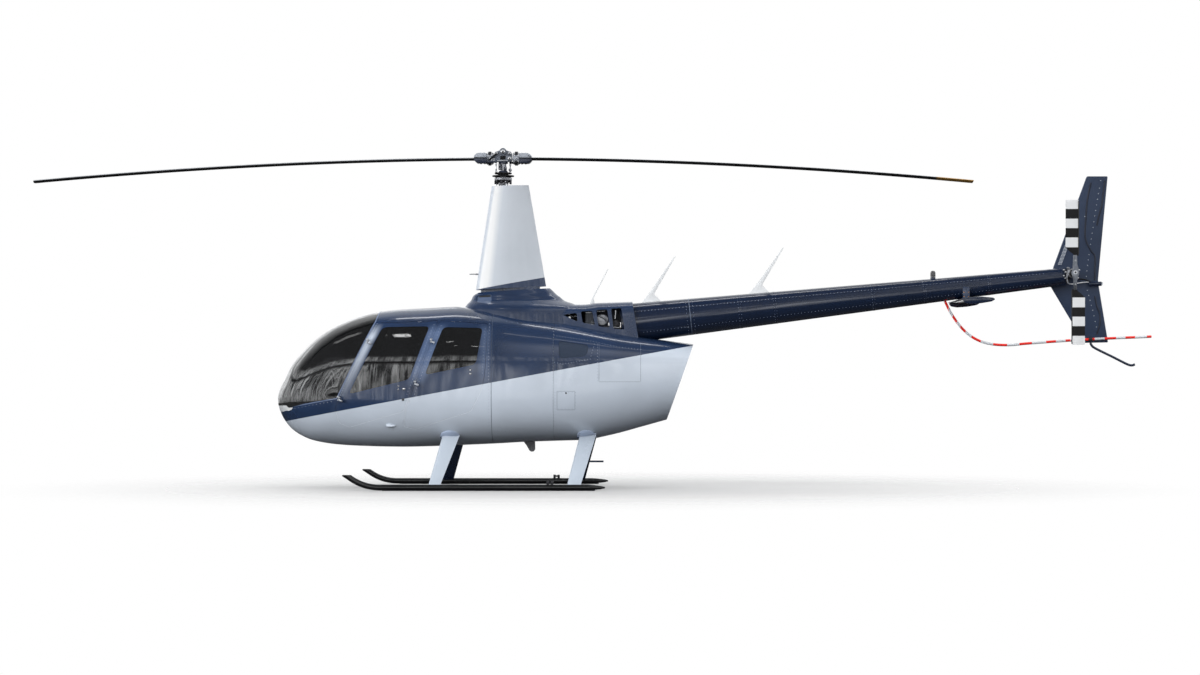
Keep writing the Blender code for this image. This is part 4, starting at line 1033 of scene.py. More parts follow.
def spine_form(inset=0.0):
    """The fairing behind the mast that the boom comes out of."""
    rings = []
    for x, top, half in refined(SPINE_SECTIONS, 5):
        ring = []
        floor, shoulder = 1.50, top - 0.15
        ring.append(Vector((x, -half + inset, floor)))
        steps = 32
        for i in range(steps + 1):
            angle = math.pi * (1 - i / steps)
            y = (half - inset) * signed_power(math.cos(angle), 0.85)
            z = shoulder + (top - inset - shoulder) * abs(math.sin(angle)) ** 0.85
            ring.append(Vector((x, y, z)))
        ring.append(Vector((x, half - inset, floor)))
        rings.append(ring)
    return loft(rings)


def top_fairings():
    first_hole = slab(rounded(SPINE_OPENINGS[0], 0.02), -0.6, 0.6)
    scoops = [slab(rounded(SCOOP, 0.015), *span(side, 0.05, 0.5)) for side, _ in SIDES]
    base = shaped(
        mast_base_form(), minus(mast_base_form(0.008)), minus(OUTER), minus(first_hole),
        *[minus(form) for form in scoops],
    )
    piece("mast_base_skin", base, TOP_PAINT, stands_for="mast_base_fairing")
    for side, name in SIDES:
        reach = span(side, 0.04, 0.5)
        # The tray's dark blue is partly its paint and partly painted shade of its recess; the slot is a black
        # layer of painted shade for the dark opening
        tray = shaped(
            mast_base_form(0.0085), within(slab(grown(SCOOP, 0.02), *reach)), minus(mast_base_form(0.013))
        )
        piece(f"scoop_tray_{name}", tray, SCOOP_PAINT)
        slot = shaped(
            mast_base_form(0.006), within(slab(rounded(SCOOP_SLOT, 0.006), *reach)),
            minus(mast_base_form(0.012)),
        )
        piece(f"scoop_slot_{name}", slot, BLACK_PAINT)
    skirt = []
    for (front, _, _, height, slope), shift in ((BASE_TOP, -0.010), (FAIRING_FOOT, 0.010)):
        skirt.append(plan_ring(-1.185, -0.560, 0.105, height + shift + slope * (-1.185 - front), slope))
    piece("fairing_skirt", loft(skirt), NAVY_PAINT)
    # Painted shade: a dark sheet behind the spine's openings stands in for the shade inside them
    web = shaped(
        slab(((-0.335, 1.60), (-0.335, 1.885), (0.345, 1.895), (0.345, 1.60)), -0.003, 0.003), minus(OUTER),
        minus(box((-0.0785, -0.2, 1.50), (0.290, 0.2, 1.735))),
    )
    piece("spine_web", web, GAP_DARK)
    bits = []
    for side, _ in SIDES:
        y = side * 0.15
        for radius, line in SPINE_PIPES:
            bits.append(sweep([(x, y, z) for x, z in line], radius, 12))
        bits.append(pin("y", (-0.246, 1.782), y - 0.008, y + 0.008, 0.012, 20))
    piece("spine_pipes", merged(*bits), BRIGHT_METAL)
    pitot = merged(
        pin("x", (0, 2.243), -1.302, -1.230, 0.0055, 20, 0.001),
        pin("x", (0, 2.243), -1.240, -1.195, 0.0085, 20, 0.0015),
    )
    piece("pitot_tube", pitot, BRIGHT_METAL)
    holes = [slab(rounded(outline, 0.02), -0.6, 0.6) for outline in SPINE_OPENINGS]
    spine = shaped(
        spine_form(), minus(slab(behind_edge(SPINE_AFT_EDGE, 1.3, 2.2, 1.0), -1, 1)),
        minus(spine_form(0.008)), minus(mast_base_form(-0.0004)), minus(OUTER),
        *[minus(form) for form in holes],
    )
    piece("spine_skin", spine, TOP_PAINT, stands_for="spine_fairing")
    fairing = shaped(mast_fairing_form(), minus(mast_fairing_form(0.006, 0.2, 0.2)))
    piece("mast_fairing_skin", fairing, FAIRING_PAINT, stands_for="mast_fairing")


# Rotor


BROWN_TIP = 0.40


def main_blade(name, direction):
    pitch_axis = 0.25 * BLADE_CHORD
    section = airfoil(BLADE_CHORD, BLADE_THICKNESS)
    rings = []
    stations = 48
    for i in range(stations + 1):
        r = BLADE_ROOT + (ROTOR_RADIUS - BLADE_ROOT) * i / stations
        z = BLADE_ROOT_Z - BLADE_DROOP * (r / ROTOR_RADIUS) ** 1.9 - BLADE_SET_DOWN
        rings.append(
            [Vector((MAST_X + direction * r, direction * (pitch_axis - a), z + up)) for a, up in section]
        )
    obj = piece(f"blade_{name}", loft(rings), BLADE_BLACK, "main_rotor", f"rotor_blade_{name}")
    # Painted reflection: the upward faces get a lighter grey for the sky reflected on the blade's top
    repaint(obj, BLADE_TOP_SHEEN, lambda centre, normal: normal.z > 0.8)
    if direction > 0:
        brown_from = MAST_X + ROTOR_RADIUS - BROWN_TIP
        repaint(obj, BLADE_BROWN, lambda centre, normal: centre.x > brown_from)
        # Painted light: the tip's side and lower faces get the lighter copy of the brown
        repaint(obj, BLADE_BROWN_PAINTED_LIGHT, lambda centre, normal: centre.x > brown_from and normal.z < 0.3)


def grip(name, direction):
    """A spindle housing with its pitch horn, and the fitting that a blade is bolted into."""
    place = Matrix.Translation((MAST_X, 0, BLADE_ROOT_Z)) @ Matrix.Diagonal((direction, direction, 1.0, 1.0))
    inner, outer = 0.172, BLADE_ROOT - FIT
    spots = [(x, y) for x in (0.195, 0.235) for y in (-0.045, 0.015, 0.075)]
    horn = ((0.060, -0.0487), (0.19, -0.0487), (0.19, -0.022), (0.060, -0.032))
    upper = ((inner, 0.004), (outer, 0.004), (outer, 0.026), (outer - 0.035, 0.053), (inner, 0.053))
    lower = ((inner, -0.050), (outer - 0.03, -0.050), (outer, -0.022), (outer, 0.001), (inner, 0.001))
    top = merged(
        slab(rounded(upper, 0.016, 4), -0.085, 0.115, soft=0.003),
        pin("x", (0, 0.002), 0.100, 0.176, 0.050, 40, 0.008),
        bolts([(x, y, 0.0525) for x, y in spots], (0, 0, 1), 0.010, 0.006),
    )
    bottom = merged(
        slab(rounded(lower, 0.014, 4), -0.084, 0.114, soft=0.003),
        bolts([(x, y, -0.0495) for x, y in spots], (0, 0, -1), 0.010, 0.006),
        slab(horn, 0.055, 0.102, soft=0.004),
    )
    drum = merged(
        pin("z", (0.140, 0), -0.058, 0.058, 0.040, 40, 0.006), pin("z", (0.140, 0), -0.073, 0.073, 0.016, 16)
    )
    piece(f"grip_{name}", moved(top, place), GREY_PAINT, "main_rotor", f"blade_grip_{name}")
    piece(f"grip_under_{name}", moved(bottom, place), SLATE_PAINT, "main_rotor")
    piece(f"grip_drum_{name}", moved(drum, place), DARK_METAL, "main_rotor")
    shim = ((inner - 0.002, -0.0035), (outer, -0.0035), (outer, 0.0065), (inner - 0.002, 0.0065))
    shim = slab(shim, -0.0862, 0.1162, soft=0.001)
    piece(f"grip_shim_{name}", moved(shim, place), STRIP_BLACK, "main_rotor")
    studs = []
    for x in (0.118, 0.162):
        for y in (-0.030, 0.030):
            studs.append(pin("z", (x, y), -0.062, 0.062, 0.0085, 12, 0.002))
    for x, z in ((0.120, 0.030), (0.158, 0.022), (0.122, -0.018), (0.160, -0.030), (0.140, 0.002)):
        studs.append(pin("y", (x, z), -0.052, 0.052, 0.0085, 12, 0.002))
    piece(f"grip_studs_{name}", moved(merged(*studs), place), BRIGHT_METAL, "main_rotor")
    edge = ((outer - 0.040, 0.030), (outer - 0.004, 0.016), (outer - 0.004, 0.010), (outer - 0.040, 0.024))
    edge = slab(edge, -0.0868, -0.084, soft=0.0008)
    piece(f"grip_edge_{name}", moved(edge, place), STRIP_BLACK, "main_rotor")


def hub():
    """The teetering plate over the mast, with its bolts and the windows in its sides; black discs in the
    bolts and black plates at the windows' floors are painted shade, and two black arms stand beside it.
    """
    half, low, high, shoulder = 0.0935, 3.4255, 3.545, 0.042
    outline = (
        (MAST_X - half, low), (MAST_X + half, low), (MAST_X + half, high - 0.030),
        (MAST_X + shoulder, high - 0.002), (MAST_X - shoulder, high - 0.002), (MAST_X - half, high - 0.030),
    )
    window = rounded(
        ((MAST_X - 0.031, 3.444), (MAST_X + 0.028, 3.444), (MAST_X + 0.028, 3.483), (MAST_X - 0.031, 3.483)),
        0.008,
    )
    plate = shaped(
        slab(rounded(outline, 0.016, 4), -0.045, 0.045, soft=0.003), minus(slab(window, -0.1, -0.030)),
        minus(slab(window, 0.030, 0.1)), minus(pin("z", ON_MAST, 3.3, 3.4303, 0.0336, 48)),
    )
    piece("hub_plate", plate, PLATE_PAINT, "main_rotor", "rotor_hub")
    rims, faces, hollows = [], [], []
    rims.append(pin("y", (MAST_X, 3.529), -0.068, 0.068, 0.0375, 40, 0.004))
    faces.append(pin("y", (MAST_X, 3.529), -0.073, 0.073, 0.0255, 40, 0.004))
    hollows.append(pin("y", (MAST_X, 3.529), -0.0738, 0.0738, 0.0095, 24))
    for side, _ in SIDES:
        for x, z, radius, depth in (
            (-0.068, 3.513, 0.018, 0.056), (0.070, 3.511, 0.020, 0.060), (0.070, 3.456, 0.026, 0.060)
        ):
            spot, start = (MAST_X + x, z), side * 0.044
            rims.append(pin("y", spot, start, side * depth, radius, 24, 0.002))
            faces.append(pin("y", spot, start, side * (depth + 0.004), 0.74 * radius, 24, 0.002))
            hollows.append(pin("y", spot, start, side * (depth + 0.0048), 0.28 * radius, 12))
        foot = (
            (MAST_X - 0.060, 3.432), (MAST_X + 0.062, 3.432), (MAST_X + 0.062, 3.4385),
            (MAST_X - 0.060, 3.4385),
        )
        faces.append(slab(foot, *span(side, 0.044, 0.0475), soft=0.0008))
        hollows.append(slab(grown(window, -0.001), *span(side, 0.0302, 0.034)))
        arm = (
            (MAST_X - 0.166, 3.432), (MAST_X - 0.150, 3.428), (MAST_X - 0.060, 3.500), (MAST_X - 0.072, 3.516)
        )
        hollows.append(slab(arm, *span(side, 0.062, 0.070), soft=0.002))
    piece("hub_bolt_rims", merged(*rims), PLATE_PAINT, "main_rotor")
    piece("hub_bolts", merged(*faces), BRIGHT_METAL, "main_rotor")
    piece("hub_hollows", merged(*hollows), STRIP_BLACK, "main_rotor")


def around_mast(radius, degrees):
    angle = math.radians(degrees)
    return MAST_X + radius * math.cos(angle), radius * math.sin(angle)


def swashplates():
    upper = shaped(
        pin("z", ON_MAST, 3.268, 3.2815, 0.1155, 64, 0.005),
        plus(pin("z", ON_MAST, 3.2800, 3.2965, 0.055, 64, 0.001)),
        plus(pin("z", ON_MAST, 3.2950, 3.3105, 0.090, 64, 0.004)),
        minus(pin("z", ON_MAST, 3.2, 3.4, 0.0345, 48)),
    )
    piece("swash_star", upper, STRIP_BLACK, "main_rotor", "swashplate_upper")
    sleeve = merged(
        pin("z", ON_MAST, 3.404, 3.4245, 0.050, 48, 0.004),
        pin("z", ON_MAST, 3.3100, 3.330, 0.054, 48, 0.003, end_radius=0.043),
        box((MAST_X - 0.048, -0.052, 3.338), (MAST_X - 0.020, -0.030, 3.400), 0.004),
        box((MAST_X + 0.018, -0.054, 3.330), (MAST_X + 0.040, -0.030, 3.372), 0.004),
    )
    sleeve = shaped(sleeve, minus(pin("z", ON_MAST, 3.2, 3.5, 0.0345, 48)), solver="EXACT")
    piece("mast_sleeve", sleeve, SLATE_PAINT, "main_rotor")
    nuts = [
        pin("y", (MAST_X + x, z), y, y - 0.012, 0.009, 12, 0.002)
        for x, y, z in ((-0.034, -0.050, 3.386), (-0.034, -0.050, 3.352), (0.029, -0.052, 3.356))
    ]
    nuts.append(pin("y", (MAST_X + 0.070, 3.345), 0.060, 0.110, 0.017, 24, 0.003))
    piece("mast_nuts", merged(*nuts), BARE_METAL, "main_rotor")
    for direction, name in ENDS:
        x, y = MAST_X + direction * 0.07, direction * 0.085
        link = merged(
            pin("z", (x, y), 3.325, 3.392, 0.0072, 20, 0.001),
            pin("y", (x, 3.318), y - 0.007, y + 0.007, 0.0125, 24, 0.002),
            pin("y", (x, 3.399), y - 0.007, y + 0.007, 0.0115, 24, 0.002),
            pin("z", (x, y), 3.308, 3.330, 0.005, 12),
        )
        piece(f"pitch_link_{name}", link, BRIGHT_METAL, "main_rotor")
    lower = shaped(
        pin("z", ON_MAST, 3.224, 3.2600, 0.0915, 64, 0.006),
        plus(pin("z", ON_MAST, 3.166, 3.230, 0.0475, 48, 0.002)),
        minus(pin("z", ON_MAST, 3.1, 3.4, 0.0345, 48)),
    )
    piece("swash_ring", lower, BARE_METAL, stands_for="swashplate_lower")
    boot = shaped(
        pin("z", ON_MAST, 3.204, 3.2235, 0.058, 64, 0.003, end_radius=0.082),
        minus(pin("z", ON_MAST, 3.1, 3.4, 0.0480, 48)),
    )
    piece("swash_boot", boot, STRIP_BLACK)
    lugs = []
    for degrees in range(20, 380, 40):
        x, y = around_mast(0.082, degrees)
        lugs.append(pin("z", (x, y), 3.190, 3.226, 0.011, 16, 0.002))
    piece("swash_lugs", merged(*lugs), DARK_METAL)
    rods = []
    for degrees in (60, 180, 300):
        x, y = around_mast(0.074, degrees)
        rods.append(pin("z", (x, y), 3.033, 3.205, 0.0078, 20))
        rods.append(pin("y", (x, 3.214), y - 0.008, y + 0.008, 0.014, 24, 0.002))
        rods.append(pin("z", (x, y), 3.222, 3.240, 0.006, 12))
    piece("push_rods", merged(*rods), BRIGHT_METAL)


def rotor():
    for direction, name in ENDS:
        main_blade(name, direction)
        grip(name, direction)
    hub()
    swashplates()


# Tail

BOOM_AXIS = Vector((BOOM_REAR[0] - BOOM_FRONT[0], 0, BOOM_REAR[1] - BOOM_FRONT[1])).normalized()
BOOM_UP = Vector((-BOOM_AXIS.z, 0, BOOM_AXIS.x))


def boom_at(x):
    """The boom's axis and radius at an x."""
    share = (x - BOOM_FRONT[0]) / (BOOM_REAR[0] - BOOM_FRONT[0])
    axis = Vector((x, 0, BOOM_FRONT[1] + (BOOM_REAR[1] - BOOM_FRONT[1]) * share))
    return axis, BOOM_FRONT[2] + (BOOM_REAR[2] - BOOM_FRONT[2]) * share


def boom_point(x, turn):
    """A place on the boom's skin and its normal: turn is 0 at the left side and 90 degrees at the top."""
    axis, radius = boom_at(x)
    angle = math.radians(turn)
    out = Vector((0, -math.cos(angle), 0)) + BOOM_UP * math.sin(angle)
    return axis + out * radius, out


def boom_ring(x, width, lift):
    axis, radius = boom_at(x)
    return rod(axis - BOOM_AXIS * width / 2, axis + BOOM_AXIS * width / 2, radius + lift, segments=96)


def boom():
    axis = Vector((BOOM_FRONT[0], 0, BOOM_FRONT[1])), Vector((BOOM_REAR[0], 0, BOOM_REAR[1]))
    rings = []
    stations = 40
    for i in range(stations + 1):
        share = i / stations
        centre = axis[0].lerp(axis[1], share)
        radius = BOOM_FRONT[2] + (BOOM_REAR[2] - BOOM_FRONT[2]) * share
        rings.append([centre + radius * (Vector((0, c, 0)) + BOOM_UP * s) for c, s in circle(96)])
    piece("boom_skin", loft(rings), BOOM_PAINT, stands_for="tail_boom")
    laps = merged(*[boom_ring(x, 0.030, 0.0007) for x in (1.54, 1.91, 2.94, 3.48, 4.16, 4.80)])
    piece("boom_laps", laps, BOOM_PAINT, angle=60)
    piece("boom_seam", boom_ring(1.02, 0.006, 0.0010), SEAM_LIGHT, angle=60)
    heads = []
    for turn in (-33, 33, 147, 213):
        for k in range(118):
            heads.append(rivet(*boom_point(0.52 + 0.036 * k, turn), 0.0036))
    for x in (0.985, 1.055, 1.528, 1.552, 1.898, 1.922, 2.928, 2.952, 3.468, 3.492, 4.148, 4.172):
        heads.extend(rivet(*boom_point(x, turn), 0.0032) for turn in range(0, 360, 12))
    piece("boom_rivets", merged(*heads), RIVET_PAINT, angle=50)


GUARD_RED = (
    (944.7, 948.5), (952.6, 956.8), (960.3, 965.4), (971.4, 980.7), (993.1, 1007.2), (1019.6, 1032.1),
    (1046.4, 1056.3), (1066.0, 1071.0), (1085.0, 1095.5), (1105.4, 1117.0), (1126.4, 1136.0),
    (1147.9, 1154.0),
)
FIN = (
    (4.855, 2.315), (5.209, 3.280), (5.429, 3.280), (5.327, 2.185), (5.337, 2.108), (5.433, 1.526),
    (5.184, 1.521), (4.827, 2.118),
)
GUARD = (
    (3.699, 0.000, 1.962), (3.774, 0.000, 1.818), (3.886, 0.000, 1.668), (4.018, 0.005, 1.564),
    (4.168, 0.012, 1.512), (4.356, 0.022, 1.497), (4.597, 0.034, 1.516), (5.034, 0.056, 1.547),
    (5.417, 0.0765, 1.567), (5.8824, 0.0765, 1.587),
)
TAIL_SKID = (
    (5.250, 0.116, 1.530), (5.258, 0.116, 1.500), (5.302, 0.116, 1.463), (5.486, 0.116, 1.372),
    (5.635, 0.116, 1.297), (5.687, 0.116, 1.284), (5.717, 0.116, 1.295),
)
END_PLATE = (
    (3.813, 1.948), (3.845, 1.976), (4.007, 1.987), (4.130, 1.976), (4.150, 1.958), (4.113, 1.936),
    (4.007, 1.918), (3.900, 1.910), (3.836, 1.921),
)


def from_pixel(px):
    """The x of a place on the middle plane from its column in the picture's frame."""
    return (px - MIDDLE_COLUMN) / PIXELS_PER_METRE


def from_row(py):
    """The height of a place on the middle plane from its row in the picture's frame."""
    return (GROUND_ROW - py) / PIXELS_PER_METRE


def tail_rotor():
    hub_x, hub_y, hub_z = TAIL_HUB
    for direction, name in ((1, "upper"), (-1, "lower")):
        section = airfoil(TAIL_BLADE_CHORD, 0.014, 12)
        rings = []
        for r, chord_share in (
            (0.1726, 0.35), (0.19, 0.42), (0.21, 0.60), (0.24, 0.86), (0.26, 1.0), (0.30, 1.0), (0.45, 1.0),
            (0.60, 1.0), (0.745, 1.0), (TAIL_ROTOR_RADIUS, 0.98),
        ):
            front = hub_x + direction * TAIL_BLADE_LEAD
            rings.append(
                [
                    Vector((front - direction * chord_share * x, hub_y + up, hub_z + direction * r))
                    for x, up in section
                ]
            )
        piece(f"tail_rotor_blade_{name}", loft(rings), TAIL_BLADE_PAINT, "tail_rotor", f"tail_blade_{name}")
        edge = [
            Vector((front + direction * 0.0002, hub_y, hub_z + direction * r))
            for r in (0.19, 0.30, 0.45, 0.60, 0.745)
        ]
        strip = sweep(edge, 0.0062, 12)
        piece(f"tail_blade_edge_{name}", strip, BLADE_BLACK, "tail_rotor", angle=60)
    corners = (
        (-0.0155, -0.182), (0.0155, -0.182), (0.0185, -0.085), (0.041, -0.006), (0.036, 0.030),
        (0.021, 0.085), (0.018, 0.182), (-0.020, 0.182), (-0.025, 0.085), (-0.028, 0.030), (-0.042, 0.0),
        (-0.022, -0.078),
    )
    corners = [(hub_x + a, hub_z + b) for a, b in corners]
    plate = merged(
        slab(rounded(corners, 0.005, 3), hub_y - 0.010, hub_y + 0.010, soft=0.002),
        pin("y", (hub_x, hub_z), -0.1403, hub_y, 0.0158, 32, 0.001),
    )
    piece("tail_hub_plate", plate, HUB_STEEL, "tail_rotor", "tail_rotor_hub")
    ring = pin("y", (hub_x, hub_z), hub_y - 0.009, hub_y - 0.018, 0.021, 32)
    piece("tail_hub_ring", ring, WHITE_PAINT, "tail_rotor")
    nut = pin("y", (hub_x, hub_z), hub_y - 0.017, hub_y - 0.0245, 0.0115, 6, 0.001, end_radius=0.0105)
    piece("tail_hub_nut", nut, BLACK_PAINT, "tail_rotor")
    heads = []
    for z in (-0.125, 0.125):
        heads.append(pin("y", (hub_x, hub_z + z), hub_y - 0.009, hub_y - 0.018, 0.010, 6, end_radius=0.009))
    piece("tail_hub_bolts", merged(*heads), BARE_METAL, "tail_rotor")


# The fin's lines of rivets, as columns and rows of the picture's frame
FIN_RIVETS = (
    ((1102, 180), (1100.7, 187.5), (1096, 215.5), (1092.5, 238.5), (1089.5, 259.5), (1087.5, 276)),
    ((1090, 192), (1088.4, 204), (1086, 216)), ((1088.5, 290), (1094, 310), (1100, 338)),
)


def fin():
    low, high = FIN_Y - FIN_HALF, FIN_Y + FIN_HALF
    skin = shaped(soften(slab(rounded(FIN, 0.014, 6), low, high), 0.008, 3), minus(boom_form(BOOM_FIT)))
    piece("fin_skin", skin, FIN_PAINT, stands_for="tail_fin")
    lines = (
        (
            (1092, 182), (1088.5, 200), (1087, 218), (1086.5, 238), (1092, 250), (1096, 256), (1096, 268),
            (1096, 280),
        ),
        ((1106, 180), (1104.5, 192), (1103, 205), (1100, 216), (1098, 225)),
        ((1096, 296), (1098, 306), (1101, 314), (1101, 324), (1098, 334)),
    )
    beads = []
    for line in lines:
        points = [(from_pixel(px), low + 0.003, from_row(py)) for px, py in line]
        beads.append(sweep(smooth_line(points, 5), 0.0095, 12))
    # Painted shade: the beads are darker than the fin to stand in for the shade along them
    piece("fin_beads", merged(*beads), BEAD_SHADE_PAINT, angle=60)
    heads = []
    for line in FIN_RIVETS:
        spots = [(from_pixel(px), from_row(py)) for px, py in line]
        heads.extend(
            rivet(Vector((x, low, z)), Vector((0, -1, 0)), 0.0050) for x, z in along_lines(spots, 0.062)
        )
    piece("fin_rivets", merged(*heads), PALE_RIVET, angle=50)
    ribs = []
    for shift in (0.022, 0.036, 0.050):
        ends = [Vector((4.885 + shift, low, 2.345)), Vector((5.062 + shift, low, 2.828))]
        ribs.append(sweep([ends[0].lerp(ends[1], k / 4) for k in range(5)], 0.0052, 10))
    piece("fin_ribs", merged(*ribs), RIB_PAINT, angle=60)


def guard_sweep():
    """The guard tube, with a ring of points wherever its colour changes."""
    line = smooth_line(GUARD, 8)
    edges = [from_pixel(px) for pair in GUARD_RED for px in pair]
    points = []
    for a, b in zip(line, line[1:]):
        points.append(a)
        for edge in edges:
            if a.x < edge < b.x:
                points.append(a.lerp(b, (edge - a.x) / (b.x - a.x)))
    points.append(line[-1])
    points.sort(key=lambda p: p.x)
    kept = [points[0]]
    for point in points[1:]:
        if (point - kept[-1]).length > 0.0004:
            kept.append(point)
    return sweep(kept, 0.0135, 20)


def guard():
    tube = shaped(guard_sweep(), minus(boom_form(BOOM_FIT)))
    obj = piece("guard_tube", tube, WHITE_PAINT, stands_for="tail_guard")
    spans = [(from_pixel(a), from_pixel(b)) for a, b in GUARD_RED]
    repaint(obj, RED_PAINT, lambda centre, normal: any(a < centre.x < b for a, b in spans))
    clamp = merged(
        box((5.222, 0.0485, 1.5395), (5.262, 0.0955, 1.5785), 0.004),
        bolts([(5.233, 0.0490, 1.559), (5.251, 0.0490, 1.559)], (0, -1, 0), 0.0055, 0.004),
    )
    piece("guard_clamp", clamp, BLACK_PAINT)
    piece("guard_end", ball(GUARD[-1], (0.006, 0.0134, 0.0134), 20, 10), RED_PAINT)
    skid_tube = shaped(
        sweep(smooth_line(TAIL_SKID, 8), 0.013, 20),
        minus(slab(grown(FIN, 0.0005), FIN_Y - FIN_HALF - 0.001, FIN_Y + FIN_HALF + 0.001)),
    )
    piece("tail_skid_tube", skid_tube, BOOM_PAINT, stands_for="tail_skid")


def stabiliser():
    front, rear, height, half_span = 3.807, 4.146, 1.962, 0.765
    section = airfoil(rear - front, 0.036, 18)
    rings = []
    for share in [-1 + k / 8 for k in range(17)]:
        rings.append([Vector((front + x, share * (half_span - 0.007), height + up)) for x, up in section])
    wing = shaped(loft(rings), minus(boom_form(BOOM_FIT)))
    # Painted shade: the wing takes the darker boom paint to stand in for the shade on its underside
    piece("stabiliser_skin", wing, BOOM_PAINT, stands_for="stabiliser")
    plates = []
    for side, _ in SIDES:
        plates.append(
            slab(rounded(END_PLATE, 0.012), side * half_span - 0.006, side * half_span + 0.006, soft=0.003)
        )
    piece("stabiliser_ends", merged(*plates), BOOM_PAINT)
    straps = shaped(box((3.877, -0.1275, height), (3.949, 0.1275, 2.107), 0.003), minus(boom_form(BOOM_FIT)))
    piece("stabiliser_saddle", straps, NAVY_PAINT)
    heads = [(x, -0.1265, z) for x in (3.888, 3.938) for z in (2.004, 2.050)]
    piece("saddle_rivets", bolts(heads, (0, -1, 0), 0.0055, 0.003, 12), COPPER)


def lights():
    base = merged(
        pin("z", (3.575, 0), 2.185, 2.212, 0.0278, 40, 0.003),
        pin("z", (3.575, 0), 2.19, 2.220, 0.0235, 40, 0.002),
    )
    piece("beacon_base", shaped(base, minus(boom_form(BOOM_FIT)), solver="EXACT"), BOOM_PAINT)
    rings = []
    for radius, z in (
        (0.024, 2.214), (0.0272, 2.220), (0.0275, 2.245), (0.0262, 2.262), (0.020, 2.274), (0.010, 2.279)
    ):
        rings.append([Vector((3.575 + radius * c, radius * s, z)) for c, s in circle(40)])
    piece("beacon_dome", loft(rings), SMOKED_LENS, stands_for="beacon")
    y = FIN_Y - FIN_HALF - 0.030
    housing = merged(
        soften(rod((5.222, y, 2.1415), (5.360, y, 2.1446), 0.0235, segments=36), 0.006),
        box((5.25, FIN_Y - 0.041, 2.128), (5.32, FIN_Y - 0.0205, 2.154), 0.003),
    )
    piece("tail_lamp_housing", housing, BOOM_PAINT, stands_for="tail_light")
    lens = []
    for radius, x in ((0.0170, 5.358), (0.0170, 5.364), (0.0150, 5.369), (0.010, 5.373), (0.004, 5.374)):
        lens.append([Vector((x, y + radius * c, 2.1446 + radius * s)) for c, s in circle(36)])
    piece("tail_lamp_lens", loft(lens), CLEAR_LENS)


def sweep_through(points, radius):
    return sweep(smooth_line(points), radius, 12)


def tail_controls():
    """The pitch control at the tail gearbox and the tail lamp's wires."""
    hub_x, _, hub_z = TAIL_HUB
    y = -0.125
    forms = [
        pin("y", (hub_x - 0.052, hub_z + 0.052), y - 0.01, y + 0.07, 0.011, 20, 0.002),
        soften(
            rod((hub_x - 0.030, y, hub_z + 0.020), (hub_x - 0.062, y, hub_z - 0.048), 0.006, segments=16),
            0.001,
        ),
        pin("y", (hub_x - 0.070, hub_z - 0.050), y - 0.008, y + 0.06, 0.010, 20, 0.002),
        soften(
            rod((hub_x + 0.030, y, hub_z + 0.060), (hub_x + 0.052, y, hub_z + 0.012), 0.006, segments=16),
            0.001,
        ),
        pin("y", (hub_x + 0.052, hub_z + 0.010), y - 0.006, y + 0.05, 0.009, 20, 0.002),
        slab(
            (
                (hub_x - 0.075, hub_z - 0.060), (hub_x - 0.045, hub_z + 0.062),
                (hub_x - 0.030, hub_z + 0.058), (hub_x - 0.055, hub_z - 0.064),
            ),
            -0.090, -0.080, soft=0.002,
        ),
        slab(
            (
                (hub_x + 0.022, hub_z + 0.064), (hub_x + 0.060, hub_z + 0.004),
                (hub_x + 0.050, hub_z - 0.004), (hub_x + 0.012, hub_z + 0.056),
            ),
            -0.090, -0.080, soft=0.002,
        ),
        pin("y", (hub_x, hub_z), -0.080, -0.092, 0.050, 48, 0.003),
    ]
    piece("tail_pitch_control", merged(*forms), BARE_METAL)
    cups = []
    for x, z in (
        (-0.095, 0.030), (-0.078, 0.010), (-0.098, -0.030), (-0.080, -0.056), (0.062, 0.030), (0.048, -0.052)
    ):
        cups.append(pin("y", (hub_x + x, hub_z + z), -0.15, -0.02, 0.0095, 18, 0.002))
    piece("tail_gearbox_studs", merged(*cups), BRIGHT_METAL)
    silver = [
        (hub_x - 0.064, -0.10, hub_z - 0.036), (4.976, -0.09, 2.180), (4.992, -0.05, 2.147),
        (5.035, 0.02, 2.139), (5.11, 0.062, 2.150), (5.20, 0.066, 2.161), (5.242, 0.066, 2.152),
    ]
    dark = [
        (hub_x + 0.02, 0.045, hub_z - 0.040), (5.110, 0.056, 2.196), (5.19, 0.062, 2.186),
        (5.245, 0.066, 2.160),
    ]
    piece("tail_lamp_conduit", sweep_through(silver, 0.0062), WHITE_PAINT)
    piece("tail_lamp_loom", sweep_through(dark, 0.0070), STRIP_BLACK)


def gearbox():
    rear = Vector((BOOM_REAR[0], 0, BOOM_REAR[1]))
    hub = Vector(TAIL_HUB)
    cap = soften(
        rod(rear + BOOM_AXIS * 0.0003, rear + BOOM_AXIS * 0.045, BOOM_REAR[2] - 0.001, 0.060, 64), 0.004
    )
    case = pin("y", (hub.x, hub.z), 0.074, -0.1395, 0.049, 48, 0.005, end_radius=0.034)
    piece("gearbox_case", merged(cap, case), BLACK_PAINT, stands_for="tail_gearbox")


# The aerials on the spine and the boom: half thickness and side view
WHIPS = (
    (0.004, ((-0.054, 1.88), (-0.010, 1.995), (0.151, 2.300), (0.160, 2.298), (0.002, 1.990), (0.030, 1.88))),
    (
        0.005,
        (
            (0.499, 1.93), (0.608, 2.073), (0.853, 2.430), (0.868, 2.433), (0.649, 2.051), (0.642, 2.030),
            (0.678, 1.999), (0.740, 1.93),
        ),
    ),
    (
        0.005,
        (
            (1.622, 2.02), (1.755, 2.186), (1.990, 2.521), (2.006, 2.523), (1.788, 2.150), (1.779, 2.128),
            (1.811, 2.094), (1.880, 2.02),
        ),
    ),
)


